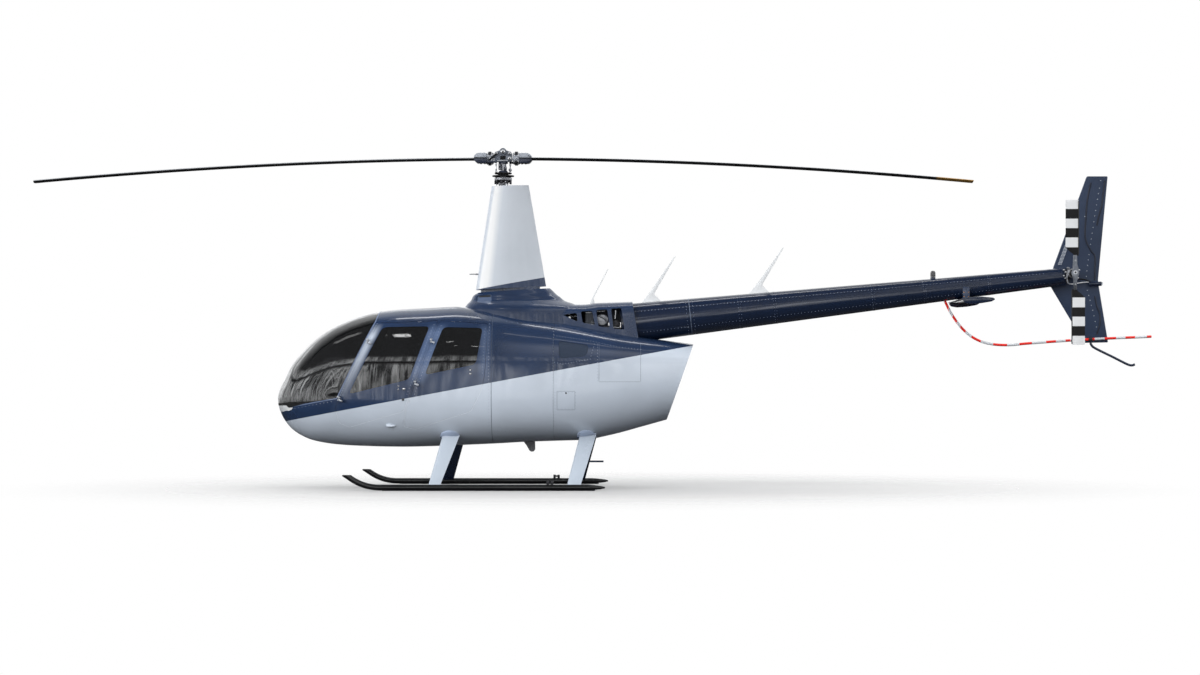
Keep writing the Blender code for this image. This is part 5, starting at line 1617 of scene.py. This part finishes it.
def whips():
    """The three aerials on the spine and the boom."""
    for i, (half, outline) in enumerate(WHIPS):
        mast = slab(outline, -half, half, soft=0.0022)
        mast = shaped(mast, minus(spine_form(-0.0005) if i == 0 else boom_form(BOOM_FIT)))
        piece(f"whip_{i + 1}", mast, WHIP_PAINT, stands_for=f"aerial_{i + 1}")


def tail():
    boom()
    tail_rotor()
    gearbox()
    tail_controls()
    fin()
    guard()
    stabiliser()
    lights()
    whips()


# Landing gear

LEG_TOP_Z = 0.56
BLISTER_Z = 0.546

# Each leg's name, and its foot and head along x
LEGS = ("front", (-1.663, -1.545), (-1.547, -1.370)), ("rear", (-0.252, -0.115), (-0.133, 0.038))


def skid_points(y):
    """The skid's centre line from its rear end to its turned-up front."""
    bend_x, bend_radius, bend = -2.156, 0.50, math.radians(34)
    points = [(-0.02, y, SKID_Z), (-0.10, y, SKID_Z), (-1.0, y, SKID_Z), (bend_x, y, SKID_Z)]
    steps = 14
    for i in range(1, steps + 1):
        a = bend * i / steps
        points.append((bend_x - bend_radius * math.sin(a), y, SKID_Z + bend_radius * (1 - math.cos(a))))
    last = points[-1]
    points.append((last[0] - 0.10 * math.cos(bend), y, last[2] + 0.10 * math.sin(bend)))
    return points


def skin_dome(x_middle, z_low, reach, rise, swell, side):
    """Half a dome on the body's side, flat below, that follows the skin."""
    rings = []
    columns, rows = 32, 12
    for i in range(columns + 1):
        share = -math.cos(math.pi * i / columns) * 0.999
        fall = math.sqrt(1 - share * share)
        outer, inner = [], []
        for k in range(rows + 1):
            t = math.sin(math.pi / 2 * k / rows)
            spot, normal = skin_spot(x_middle + reach * share, z_low + max(rise * fall, 0.001) * t, side)
            lift = swell * fall**0.9 * math.sqrt(max(1 - t * t, 0.0))
            outer.append(spot + normal * (lift + 0.0002))
            inner.append(spot - normal * 0.006)
        rings.append(outer + inner[::-1])
    return loft(rings)


def landing_gear():
    for side, name in SIDES:
        y = side * SKID_Y
        points = skid_points(y)
        tube = shaped(
            sweep(points, SKID_RADIUS, 32), minus(box((-2.8, y - 0.1, 0.1615), (-2.2, y + 0.1, 0.4)))
        )
        rear = [(0.14, y, SKID_Z), (0.10, y, SKID_Z), (0.02, y, SKID_Z), (-0.03, y, SKID_Z)]
        cone = sweep(rear, 0.0, 32, taper=[0.007, 0.017, 0.0262, 0.0297])
        piece(f"skid_tube_{name}", merged(tube, cone), SKID_PAINT, stands_for=f"skid_{name}")
        bar = box((-2.128, y - 0.0115, 0.0006), (0.038, y + 0.0115, 0.015), 0.002)
        piece(f"wear_bar_{name}", bar, DARK_METAL)
        fitting = merged(
            box((-0.455, y - 0.018, 0.045), (-0.430, y + 0.018, 0.101), 0.003),
            box((-0.410, y - 0.018, 0.045), (-0.385, y + 0.018, 0.101), 0.003),
            pin("x", (y, 0.085), -0.455, -0.385, 0.009, 20, 0.001),
            box((-0.452, y - 0.016, 0.045), (-0.388, y + 0.016, 0.066), 0.002),
        )
        piece(f"wheel_bracket_{name}", fitting, DARK_METAL)
        skid_grown = sweep(points, SKID_RADIUS + 0.0005, 32)
        for which, foot, head in LEGS:
            centre_x = sum(head) / 2
            belly = skin_y(centre_x, LEG_TOP_Z)
            rings = []
            for k in range(17):
                t = -0.2 + 1.2 * (16 - k) / 16
                x0 = head[0] + (foot[0] - head[0]) * t
                x1 = head[1] + (foot[1] - head[1]) * t
                out = belly + (SKID_Y - belly) * t
                z = LEG_TOP_Z + (SKID_Z - LEG_TOP_Z) * t
                thick = 0.040 + (0.030 - 0.040) * t
                rings.append([Vector((x0 + a, side * (out + b), z)) for a, b in airfoil(x1 - x0, thick)])
            leg = shaped(loft(rings), minus(OUTER), minus(skid_grown.copy()))
            obj = piece(f"leg_{which}_{name}", leg, STRUT_PAINT, stands_for=f"strut_{which}_{name}")
            # Painted shade: the faces toward the middle plane get the dark blue paint
            repaint(obj, NAVY_PAINT, lambda centre, normal: side * normal.y < -0.2)
            blister = skin_dome(centre_x - 0.016, BLISTER_Z, 0.100, 0.062, 0.030, side)
            piece(f"blister_{which}_{name}", blister, BLISTER_PAINT, angle=60)
            # Painted shadow: a thin dark blue rim at each blister's foot stands in for the shadow line of the
            # seam under it
            shadow_rim = skin_dome(centre_x - 0.016, BLISTER_Z - 0.007, 0.102, 0.007, 0.037, side)
            piece(f"blister_shadow_rim_{which}_{name}", shadow_rim, NAVY_PAINT, angle=60)
            if which == "rear" and side > 0:
                rod_z = 0.253
                rod_y = SKID_Y + (belly - SKID_Y) * (rod_z - SKID_Z) / (LEG_TOP_Z - SKID_Z)
                peg = pin("x", (rod_y, rod_z), -0.099, 0.096, 0.010, 24, 0.002)
                piece("step_peg", peg, NAVY_PAINT)


# Inside


def seat_frame_outline(front, back, low):
    """The shell under and behind the cushions."""
    return (
        (front + 0.004, low), (front - 0.014, low + 0.25), (back - 0.155, low + 0.23),
        (back - 0.018, low + 0.86), (back + 0.012, low + 0.86), (back - 0.006, low),
    )


PAD_CROWN = 0.35


def pad_axes(start, end):
    """A pad's start in space, the way along it and the way out of its face."""
    start, end = Vector((start[0], 0, start[1])), Vector((end[0], 0, end[1]))
    along = end - start
    up = Vector((0, 1, 0)).cross(along).normalized()
    if up.z < 0 and abs(along.z) < abs(along.x):
        up = -up
    return start, along, up


def pad(start, end, half_width, thickness):
    """A crowned closed cushion along a line in the side view: start and end are x and z."""
    start, along, up = pad_axes(start, end)
    bm = bmesh.new()
    bmesh.ops.create_cube(bm, size=2.0)
    bmesh.ops.subdivide_edges(bm, edges=bm.edges, cuts=13, use_grid_fill=True)
    for vert in bm.verts:
        u, v, w = vert.co
        fall = (1 - abs(u) ** 3.2) * (1 - abs(v) ** 3.2)
        pull = 1 - 0.035 * (1 - u * u) - 0.02 * w * w
        bulge = w * thickness / 2 * (0.55 + (1 - 0.55) * max(fall, 0.0) ** 0.5)
        if w > 0.99:
            bulge += PAD_CROWN * thickness / 2 * max(fall, 0.0) ** 0.6
        middle = start + along * (0.5 + 0.5 * u * (1 - 0.02 * (1 - v * v)))
        vert.co = middle + Vector((0, v * half_width * pull, 0)) + up * bulge
    return bm


VOXEL = 0.009
FILL_PRESSURE = 4.0
FILL_FRAMES = 20
SWELL_LIMIT = 0.008
CHANNEL_DEPTH, CHANNEL_REACH = 0.0055, 0.010


def evaluated(obj):
    return bpy.data.meshes.new_from_object(obj.evaluated_get(bpy.context.evaluated_depsgraph_get()))


def filled(form, cap):
    """A pad after its cover is blown up as cloth, with no point moved further than the cap."""
    scene = bpy.context.scene
    first = scene.frame_current
    mesh = bpy.data.meshes.new("cover")
    form.to_mesh(mesh)
    form.free()
    cover = add("cover", mesh)
    remesh = cover.modifiers.new("remesh", "REMESH")
    remesh.mode, remesh.voxel_size = "VOXEL", VOXEL
    start = evaluated(cover)
    cover.modifiers.clear()
    cover.data = start
    cloth = cover.modifiers.new("cloth", "CLOTH")
    cloth.settings.use_pressure = True
    cloth.settings.uniform_pressure_force = FILL_PRESSURE
    cloth.settings.effector_weights.gravity = 0.0
    cloth.point_cache.frame_start, cloth.point_cache.frame_end = 1, FILL_FRAMES
    for frame_number in range(1, FILL_FRAMES + 1):
        scene.frame_set(frame_number)
    blown = evaluated(cover)
    cover.modifiers.clear()
    scene.frame_set(first)
    for old, new in zip(start.vertices, blown.vertices):
        step = new.co - old.co
        if step.length > cap:
            step *= cap / step.length
        old.co = old.co + step
    smooth = cover.modifiers.new("smooth", "SUBSURF")
    smooth.levels = 1
    done = evaluated(cover)
    bm = bmesh.new()
    bm.from_mesh(done)
    bpy.data.objects.remove(cover)
    for leftover in (mesh, start, blown, done):
        bpy.data.meshes.remove(leftover)
    return bm


def channelled(form, start, end):
    """Three sewn channels across a pad, pulled in from its face."""
    start, along, up = pad_axes(start, end)
    for vert in form.verts:
        share = (vert.co - start).dot(along) / along.length_squared
        if (vert.co - start).dot(up) > 0.01:
            for seam in (0.25, 0.50, 0.75):
                near = 1 - abs(share - seam) * along.length / CHANNEL_REACH
                if near > 0:
                    vert.co -= up * CHANNEL_DEPTH * near * near * (3 - 2 * near)
    return form


def cushions(low):
    """One filled pad for each kind: squabs and backs, front and rear."""
    made = {}
    for kind, start, end, half_width, thickness in (
        ("front_squab", (-2.360, low + 0.312), (-2.060, low + 0.288), 0.179, 0.074),
        ("front_back", (-2.018, low + 0.376), (-1.927, low + 0.854), 0.174, 0.064),
        ("rear_squab", (-1.600, low + 0.312), (-1.295, low + 0.288), 0.159, 0.074),
        ("rear_back", (-1.243, low + 0.376), (-1.152, low + 0.854), 0.154, 0.064),
    ):
        made[kind] = channelled(filled(pad(start, end, half_width, thickness), SWELL_LIMIT), start, end)
    return made


SEAT_BASE_Z = 0.5903
FRONT_SEAT_Y = (0.075, 0.475)
REAR_SEAT_HALF = 0.535
REAR_PLACES = (-0.355, 0.0, 0.355)


def seat_shell(name, front, back, y0, y1, solid):
    outline = rounded(seat_frame_outline(front, back, SEAT_BASE_Z), 0.02, 3)
    piece(name, slab(outline, y0, y1, soft=0.006), DARK_METAL, stands_for=solid)


def cushion(name, form, y):
    """A copy of a pad at a seat's middle."""
    obj = piece(name, moved(form.copy(), Matrix.Translation((0, y, 0))), SEAT_CLOTH, angle=70)


def seats():
    pads = cushions(SEAT_BASE_Z)
    for side, name in SIDES:
        seat_shell(f"seat_shell_{name}", -2.36, -1.90, *span(side, *FRONT_SEAT_Y), f"seat_front_{name}")
        for kind in ("squab", "back"):
            cushion(f"seat_{kind}_{name}", pads[f"front_{kind}"], side * sum(FRONT_SEAT_Y) / 2)
    seat_shell("seat_shell_rear", -1.60, -1.125, -REAR_SEAT_HALF, REAR_SEAT_HALF, "seat_rear")
    for i, y in enumerate(REAR_PLACES):
        for kind in ("squab", "back"):
            cushion(f"rear_{kind}_{i + 1}", pads[f"rear_{kind}"], y)


# Behind the spine's openings


COOLER_HOSE = ((0.150, 0.14, 1.70), (0.140, 0.175, 1.735), (0.118, 0.192, 1.775), (0.060, 0.19, 1.80))


def oil_cooler():
    tray = ((-0.078, 1.50), (-0.078, 1.73), (0.00, 1.725), (0.29, 1.68), (0.29, 1.50))
    base = shaped(slab(tray, -0.16, 0.16), minus(OUTER), minus(boom_form(0.0006)))
    piece("cooler_tray", base, DARK_METAL, stands_for="oil_cooler")
    block = shaped(box((-0.078, -0.19, 1.60), (0.005, 0.19, 1.838), 0.004), minus(OUTER))
    piece("cooler_core", block, COOLER_FINS)
    rails = []
    for side, _ in SIDES:
        for z in (1.708, 1.829):
            low, high = span(side, 0.186, 0.197)
            rails.append(box((-0.078, low, z), (0.006, high, z + 0.007), 0.0015))
    piece("cooler_rails", merged(*rails), BRIGHT_METAL)
    duct = merged(
        soften(pin("y", (0.095, 1.755), -0.19, 0.19, 0.0675, 64), 0.018, 4),
        box((0.050, -0.12, 1.64), (0.140, 0.12, 1.74), 0.006),
        *[sweep(smooth_line([(x, side * y, z) for x, y, z in COOLER_HOSE]), 0.012, 16) for side, _ in SIDES],
    )
    piece("cooler_duct", shaped(duct, minus(OUTER), solver="EXACT"), BARE_METAL)
    bars = []
    for side, _ in SIDES:
        y = side * 0.196
        bars.append(rod((0.048, y, 1.846), (0.126, y, 1.850), 0.0045, segments=12))
        bars.append(rod((0.232, y, 1.768), (0.238, y, 1.858), 0.005, segments=12))
        bars.append(rod((0.214, y * 0.97, 1.682), (0.289, y * 0.97, 1.678), 0.006, segments=12))
        bars.append(rod((-0.020, y, 1.735), (0.045, y, 1.722), 0.004, segments=12))
    piece("cooler_lines", merged(*bars), BRIGHT_METAL)
    pump = merged(
        soften(pin("y", (0.235, 1.715), -0.17, 0.17, 0.0495, 48), 0.014, 3),
        pin("y", (0.235, 1.715), -0.176, 0.176, 0.030, 40, 0.004),
    )
    piece("cooler_pump", pump, DARK_METAL)


# Fittings on the body

FRONT_EDGE = ((-2.218, 1.716), (-2.655, 0.841))
FRONT_HINGES = (1.529, 0.935)
REAR_EDGE = ((-1.580, 1.741), (-1.919, 0.808))
REAR_HINGES = (1.536, 1.100)
DOOR_SWING_MARGIN = 0.012
KNUCKLE_RADIUS = 0.008
KNUCKLE_LENGTH = 0.022
RIVET_RADIUS = 0.0040


def skin_spot(x, z, side):
    """A place on the body's side, and the way the skin faces there."""
    spot = np.array([[x, side * skin_y(x, z), z]])
    return Vector(spot[0]), Vector(body_normals(spot)[0])


def hinge_line(edge, heights, side):
    """The two hinge points of a door, clear of the skin's bulge between them."""
    (x0, z0), (x1, z1) = edge
    ahead = 0.0045

    def edge_x(z):
        return x0 + (x1 - x0) * (z - z0) / (z1 - z0) - ahead

    upper, lower = heights
    y_upper = skin_y(edge_x(upper), upper)
    y_lower = skin_y(edge_x(lower), lower)
    steps = 24
    bulge = 0.0
    for i in range(steps + 1):
        z = z1 + (z0 - z1) * i / steps
        line = y_lower + (y_upper - y_lower) * (z - lower) / (upper - lower)
        bulge = max(bulge, skin_y(edge_x(z), z) - line)
    out = bulge + DOOR_SWING_MARGIN
    return (
        Vector((edge_x(upper), side * (y_upper + out), upper)),
        Vector((edge_x(lower), side * (y_lower + out), lower)),
    )


def bracket(centre, axis, side, direction, reach, drop):
    """A knuckle on the hinge line with its arm: direction 1 is the door's, -1 the frame's."""
    outward = Vector((0, side, 0))
    outward = (outward - axis * outward.dot(axis)).normalized()
    aft = axis.cross(outward)
    if aft.x < 0:
        aft = -aft
    gap = 0.0003
    start = centre + axis * (gap if direction > 0 else -KNUCKLE_LENGTH)
    end = centre + axis * (KNUCKLE_LENGTH if direction > 0 else -gap)
    knuckle = soften(rod(start, end, KNUCKLE_RADIUS, segments=28), 0.0012)
    turn = Matrix((aft * direction, outward, axis)).transposed().to_4x4()
    foot_start, thickness = 0.012, 0.7 * KNUCKLE_RADIUS
    half_length = 0.42 * (end - start).length
    outline = (
        (0.0, -thickness), (foot_start, -thickness), (foot_start, -drop), (reach, -drop), (reach, thickness),
        (0.0, thickness),
    )
    arm = slab(outline, -half_length, half_length, "xy", soft=0.0012)
    moved(arm, Matrix.Translation((start + end) / 2) @ turn)
    return [knuckle, arm]


def hinges():
    frame_forms = []
    for side, name in SIDES:
        for kind, edge, heights, frame_reach in (
            ("front", FRONT_EDGE, FRONT_HINGES, 0.028), ("rear", REAR_EDGE, REAR_HINGES, 0.018)
        ):
            upper, lower = hinge_line(edge, heights, side)
            axis = (lower - upper).normalized()
            door_forms = []
            for point in (upper, lower):
                drop = abs(point.y) - skin_y(point.x, point.z) + 0.006
                door_forms.extend(bracket(point, axis, side, 1, 0.040, drop))
                frame_forms.extend(bracket(point, axis, side, -1, frame_reach, drop))
            piece(f"{kind}_{name}_door_hinges", merged(*door_forms), HINGE_PAINT, f"{kind}_{name}_door")
    piece("frame_hinges", merged(*frame_forms), HINGE_PAINT)


def along_lines(points, spacing):
    """Evenly spaced places along a line of points."""
    result = []
    for (x0, z0), (x1, z1) in zip(points, points[1:]):
        length = math.hypot(x1 - x0, z1 - z0)
        count = max(1, round(length / spacing))
        result.extend((x0 + (x1 - x0) * k / count, z0 + (z1 - z0) * k / count) for k in range(count))
    result.append(points[-1])
    return result


def rivet(place, normal, radius=RIVET_RADIUS):
    return rod(place - normal * 0.0008, place + normal * 0.0012, radius, radius * 0.5, 8)


RIVET_ROWS = (
    (0.034, ((-1.065, 0.52), (-1.065, 1.745))), (0.030, ((-0.404, 0.62), (-0.402, 1.66))),
    (0.030, ((-0.395, 1.590), (-0.05, 1.540), (0.28, 1.470), (0.50, 1.445))),
    (0.060, ((-0.89, 1.738), (-0.44, 1.672))), (0.032, ((0.055, 1.12), (0.055, 1.50))),
    (0.030, ((-0.388, 1.31), (-0.30, 1.290), (-0.02, 1.345), (0.02, 1.50))),
    (0.034, ((-0.383, 0.70), (-0.383, 1.00), (-0.170, 1.00), (-0.170, 0.83), (-0.383, 0.83))),
    (0.034, ((0.00, 0.70), (0.00, 0.87))), (0.040, ((-1.02, 0.60), (-0.45, 0.60))),
)
POST_ROWS = (
    (0.026, ((-2.250, 1.735), (-2.630, 0.950))), (0.026, ((-2.236, 1.715), (-2.622, 0.925))),
    (0.042, ((-3.095, 0.835), (-2.70, 0.905))),
)
DOOR_ROWS = {
    "front": ((0.034, ((-1.640, 1.700), (-1.905, 0.980))),),
    "rear": ((0.034, ((-1.565, 1.690), (-1.840, 0.950))), (0.030, ((-1.108, 1.66), (-1.128, 1.20)))),
}


def rivets():
    for side, name in SIDES:
        fixed = []
        for spacing, line in RIVET_ROWS + POST_ROWS:
            fixed.extend(rivet(*skin_spot(x, z, side)) for x, z in along_lines(line, spacing))
        piece(f"skin_rivets_{name}", merged(*fixed), RIVET_PAINT, angle=50)
        for kind, rows in DOOR_ROWS.items():
            heads = []
            for spacing, line in rows:
                heads.extend(rivet(*skin_spot(x, z, side), 0.0034) for x, z in along_lines(line, spacing))
            piece(f"{kind}_{name}_door_rivets", merged(*heads), RIVET_PAINT, f"{kind}_{name}_door", angle=50)

SEAM_WIDTH = 0.0028
SEAMS = (
    ((-1.036, 0.40), (-1.036, 1.90)), ((0.070, 1.115), (0.070, 1.50)), ((0.500, 1.115), (0.500, 1.50)),
    ((0.072, 1.110), (0.498, 1.110)), ((-0.3615, 0.822), (-0.3615, 1.010)),
    ((-0.178, 0.822), (-0.178, 1.010)), ((-0.3600, 1.012), (-0.180, 1.012)),
    ((-0.3600, 0.820), (-0.180, 0.820)),
)


def seams():
    """Thin lines where panels meet, laid on the skin."""
    slabs = []
    for (x0, z0), (x1, z1) in SEAMS:
        across = Vector((z1 - z0, 0, x0 - x1)).normalized() * SEAM_WIDTH / 2
        corners = (
            (x0 - across.x, z0 - across.z), (x1 - across.x, z1 - across.z), (x1 + across.x, z1 + across.z),
            (x0 + across.x, z0 + across.z),
        )
        for side, _ in SIDES:
            slabs.append(side_slab(corners, side, 0.02))
    piece("panel_seams", layer(merged(*slabs), -0.0005, 0.003), SEAM_SHADE)


def spot_turn(x, z, side):
    """A frame on the skin: its first axis runs aft, its third faces out."""
    place, normal = skin_spot(x, z, side)
    aft = Vector((1, 0, 0))
    aft = (aft - normal * aft.dot(normal)).normalized()
    up = normal.cross(aft)
    return Matrix.Translation(place) @ Matrix((aft, up, normal)).transposed().to_4x4()


def fittings():
    """Door handles, locks, the step's bump and the small plugs on the skin."""
    for side, name in SIDES:
        front = spot_turn(-1.938, 1.035, side)
        handle = merged(
            pin("z", (0, 0), -0.002, 0.006, 0.0145, 36, 0.003),
            box((-0.062, -0.012, 0.000), (-0.052, 0.004, 0.004), 0.0015),
            pin("z", (-0.058, 0.030), -0.002, 0.003, 0.006, 20, 0.001),
        )
        piece(f"front_{name}_handle", moved(handle, front), BRIGHT_METAL, f"front_{name}_door")
        lock = merged(
            pin("z", (0, 0), -0.002, 0.003, 0.013, 32, 0.001),
            box((-0.010, -0.002, 0.002), (0.010, 0.002, 0.0045), 0.0006),
        )
        piece(
            f"front_{name}_lock", moved(lock, spot_turn(-1.945, 0.925, side)), DARK_METAL,
            f"front_{name}_door",
        )
        rear = spot_turn(-1.252, 1.212, side)
        handle = merged(
            pin("z", (0, 0.018), -0.002, 0.004, 0.009, 28, 0.001),
            pin("z", (0, -0.019), -0.002, 0.004, 0.010, 28, 0.001),
        )
        piece(f"rear_{name}_handle", moved(handle, rear), BRIGHT_METAL, f"rear_{name}_door")
        bump_rings = []
        for x, wide, high in (
            (-0.050, 0.005, 0.003), (-0.048, 0.013, 0.016), (-0.040, 0.018, 0.027), (-0.020, 0.019, 0.031),
            (0.012, 0.015, 0.025), (0.038, 0.008, 0.012), (0.050, 0.002, 0.002),
        ):
            bump_rings.append([Vector((x, wide * c, high * max(s, -0.25))) for c, s in circle(24)])
        bump = moved(loft(bump_rings), spot_turn(-2.076, 0.659, side))
        piece(f"door_stop_{name}", bump, BELLY_SILVER, f"front_{name}_door")
        plugs = []
        for x, z in ((-0.743, 1.720), (-0.420, 1.672), (-0.269, 0.993)):
            place = spot_turn(x, z, side)
            plugs.append(moved(pin("z", (0, 0), -0.002, 0.002, 0.009, 24, 0.001), place))
        piece(f"skin_plugs_{name}", merged(*plugs), DARK_METAL)


def windshield_trim():
    """The painted strip along each windshield pane's edge."""
    for side, name in SIDES:
        strip = shaped(
            body_form(-0.0008), within(side_slab(grown(WINDSHIELD, 0.011), side, POST_HALF_WIDTH)),
            minus(side_slab(grown(WINDSHIELD, 0.001), side, 0.0)), minus(body_form(0.004)),
        )
        piece(f"screen_trim_{name}", strip, TRIM_PAINT)


def details():
    hinges()
    rivets()
    seams()
    fittings()
    windshield_trim()
    oil_cooler()


# Stage, camera and light

FLOOR_SOLID, FLOOR_GONE = 1.6, 6.6


def stage():
    """A pale floor that fades out; what isn't the camera sees it dark."""
    look = Look("floor_pale", (0.50, 0.50, 0.50), 0.8)
    x, y, _ = look.xyz()
    square = look.math("ADD", look.math("POWER", x, 2.0), look.math("POWER", y, 2.0))
    look.colour(look.noise(2.0, 3.0), (0.47, 0.47, 0.47), (0.44, 0.44, 0.44))
    fade = look.spread(look.math("POWER", square, 0.5), FLOOR_SOLID, FLOOR_GONE, kind="SMOOTHSTEP")
    shade = look.node("ShaderNodeBsdfDiffuse", {"Color": (0.045, 0.047, 0.052, 1.0)})
    seen = look.mix(look.camera_ray(), shade, look.shader)
    faded = look.mix(fade, seen, look.node("ShaderNodeBsdfTransparent"))
    look.feed(look.tree.nodes["Material Output"].inputs["Surface"], faded.outputs[0])
    bm = bmesh.new()
    bmesh.ops.create_circle(bm, cap_ends=True, radius=FLOOR_GONE, segments=96)
    mesh = bpy.data.meshes.new("floor")
    bm.to_mesh(mesh)
    bm.free()
    mesh.materials.append(look.material)
    add("floor", mesh)


# The room that gloss sees: height of a direction, and the strength there
ROOM = (
    (-0.095, 0.04), (-0.07, 0.25), (0.00, 0.34), (0.05, 0.32), (0.12, 0.22), (0.33, 0.16), (0.35, 0.04),
    (0.368, 0.04), (0.385, 0.26), (0.45, 0.18), (0.485, 0.08), (0.70, 0.07), (1.00, 0.05),
)
STREAKS = (
    (-0.095, 0.0), (-0.07, 0.8), (0.06, 1.0), (0.30, 1.0), (0.345, 0.0), (0.37, 0.0), (0.39, 1.2),
    (0.44, 1.0), (0.475, 0.0),
)
FAR_GLOW = ((0.02, 0.0), (0.14, 0.30), (0.30, 0.62), (0.75, 0.62), (0.92, 0.0))
AFT_GLOW = ((0.45, 0.0), (0.60, 0.42), (0.74, 0.62), (0.84, 0.0))


def surroundings():
    """White to the camera; to gloss, a dim room with a streaked band over its horizon."""
    world = bpy.data.worlds.new("studio")
    bpy.context.scene.world = world
    world.use_nodes = True
    room = Nodes(world.node_tree)
    direction = room.node("ShaderNodeTexCoord").outputs["Generated"]
    x, y, height = room.node("ShaderNodeSeparateXYZ", {0: direction}).outputs
    level = room.spread(height, -0.1, 1.0)

    def profile(rows):
        """A strength by height, from -0.1 to 1."""
        ramp = room.node("ShaderNodeValToRGB", {0: level})
        stops = ramp.color_ramp.elements
        while len(stops) > 1:
            stops.remove(stops[-1])
        for i, (at, value) in enumerate(rows):
            stop = stops[0] if i == 0 else stops.new((at + 0.1) / 1.1)
            stop.position, stop.color = (at + 0.1) / 1.1, (value, value, value, 1)
        return ramp.outputs[0]

    turn = room.math("ARCTAN2", x, y)
    curtain = room.node("ShaderNodeCombineXYZ", {0: room.times(turn, 46.0), 1: room.times(height, 2.2)})
    folds = room.spread(room.noise_at(curtain.outputs[0], 1.0, 5.0), 0.45, 0.66, -0.08, 4.4)
    streaks = room.times(folds, room.spread(x, -0.55, -0.15, 1.0, 0.62))
    strength = room.math("ADD", profile(ROOM), room.times(profile(STREAKS), streaks))
    strength = room.math("ADD", strength, room.times(profile(AFT_GLOW), room.spread(x, 0.02, 0.16, 0.0, 1.9)))
    strength = room.times(strength, room.spread(y, 0.0, 0.5, 1.0, 0.55))
    strength = room.math("ADD", strength, room.times(profile(FAR_GLOW), room.spread(y, 0.20, 0.60)))
    seen = room.node("ShaderNodeBackground", {"Color": (0.97, 0.985, 1.0, 1.0), "Strength": strength})
    white = room.node("ShaderNodeBackground", {"Color": (1.0, 1.0, 1.0, 1.0), "Strength": 1.0})
    pick = room.mix(room.camera_ray(), seen, white)
    room.feed(room.tree.nodes["World Output"].inputs["Surface"], pick.outputs[0])


# Panels on the ceiling: x and y of the middle, length and width, radiance
CEILING = 8.2
CEILING_PANELS = (
    (-3.6, -3.75, 0.8, 0.95, 6.5), (-6.9, -0.90, 2.0, 0.75, 1.1), (-2.2, -6.60, 0.4, 0.26, 6.0),
    (-1.4, -8.30, 0.3, 0.20, 6.0), (0.3, 2.40, 7.2, 0.55, 6.0), (2.6, -2.60, 6.0, 0.24, 2.6),
)


# Wide sources that only light: name, direction, angle across and energy
SUNS = (("dome", (0.0, 0.0, 1.0), 165, 3.5), ("soft_side", (-0.80, -0.55, 0.20), 45, 1.65))


def lamps():
    """Two wide soft sources that only light, and panels that also show in gloss."""
    for name, source, width, energy in SUNS:
        lamp = bpy.data.lights.new(name, "SUN")
        lamp.energy = energy
        lamp.angle = math.radians(width)
        obj = add(name, lamp)
        obj.rotation_euler = Vector(source).to_track_quat("Z", "Y").to_euler()
        obj.visible_glossy = False
    for i, (x, y, length, width, radiance) in enumerate(CEILING_PANELS):
        lamp = bpy.data.lights.new(f"panel_{i + 1}", "AREA")
        lamp.shape = "RECTANGLE"
        lamp.size, lamp.size_y = length, width
        lamp.energy = math.pi * length * width * radiance
        obj = add(f"panel_{i + 1}", lamp)
        obj.location = (x, y, CEILING)
        obj.visible_camera = False


def camera():
    data = bpy.data.cameras.new("camera")
    data.sensor_width = 36.0
    data.lens = 95.2
    data.clip_end = 500.0
    data.shift_x, data.shift_y = -52 / PICTURE_WIDTH, 46.5 / PICTURE_WIDTH
    obj = add("camera", data)
    obj.location = (0.618, -33.4, 1.087)
    obj.rotation_euler = (math.pi / 2, 0.0, 0.0)
    bpy.context.scene.camera = obj
    bpy.context.scene.view_settings.view_transform = "Standard"


SLOT_LOOKS = {
    "navy_paint": NAVY_PAINT, "silver_paint": SILVER_PAINT, "white_paint": WHITE_PAINT,
    "black_paint": BLACK_PAINT, "red_paint": RED_PAINT, "glazing": GLASS, "bare_metal": BARE_METAL,
    "dark_metal": DARK_METAL, "trim": SEAT_CLOTH,
}


def dress_solids():
    """Every solid that stays in view gets the material of its slot."""
    for row in frame["record"]["subparts"]:
        mesh = NODES[row["node"]].data
        mesh.materials.clear()
        mesh.materials.append(SLOT_LOOKS[row["material_slot"]])
    NODES["tail_boom"].data.materials[0] = BOOM_PAINT
    NODES["belly_aerial"].data.materials[0] = AERIAL_GREY


camera()
dress_solids()
fuselage()
top_fairings()
rotor()
tail()
landing_gear()
seats()
details()
stage()
surroundings()
lamps()
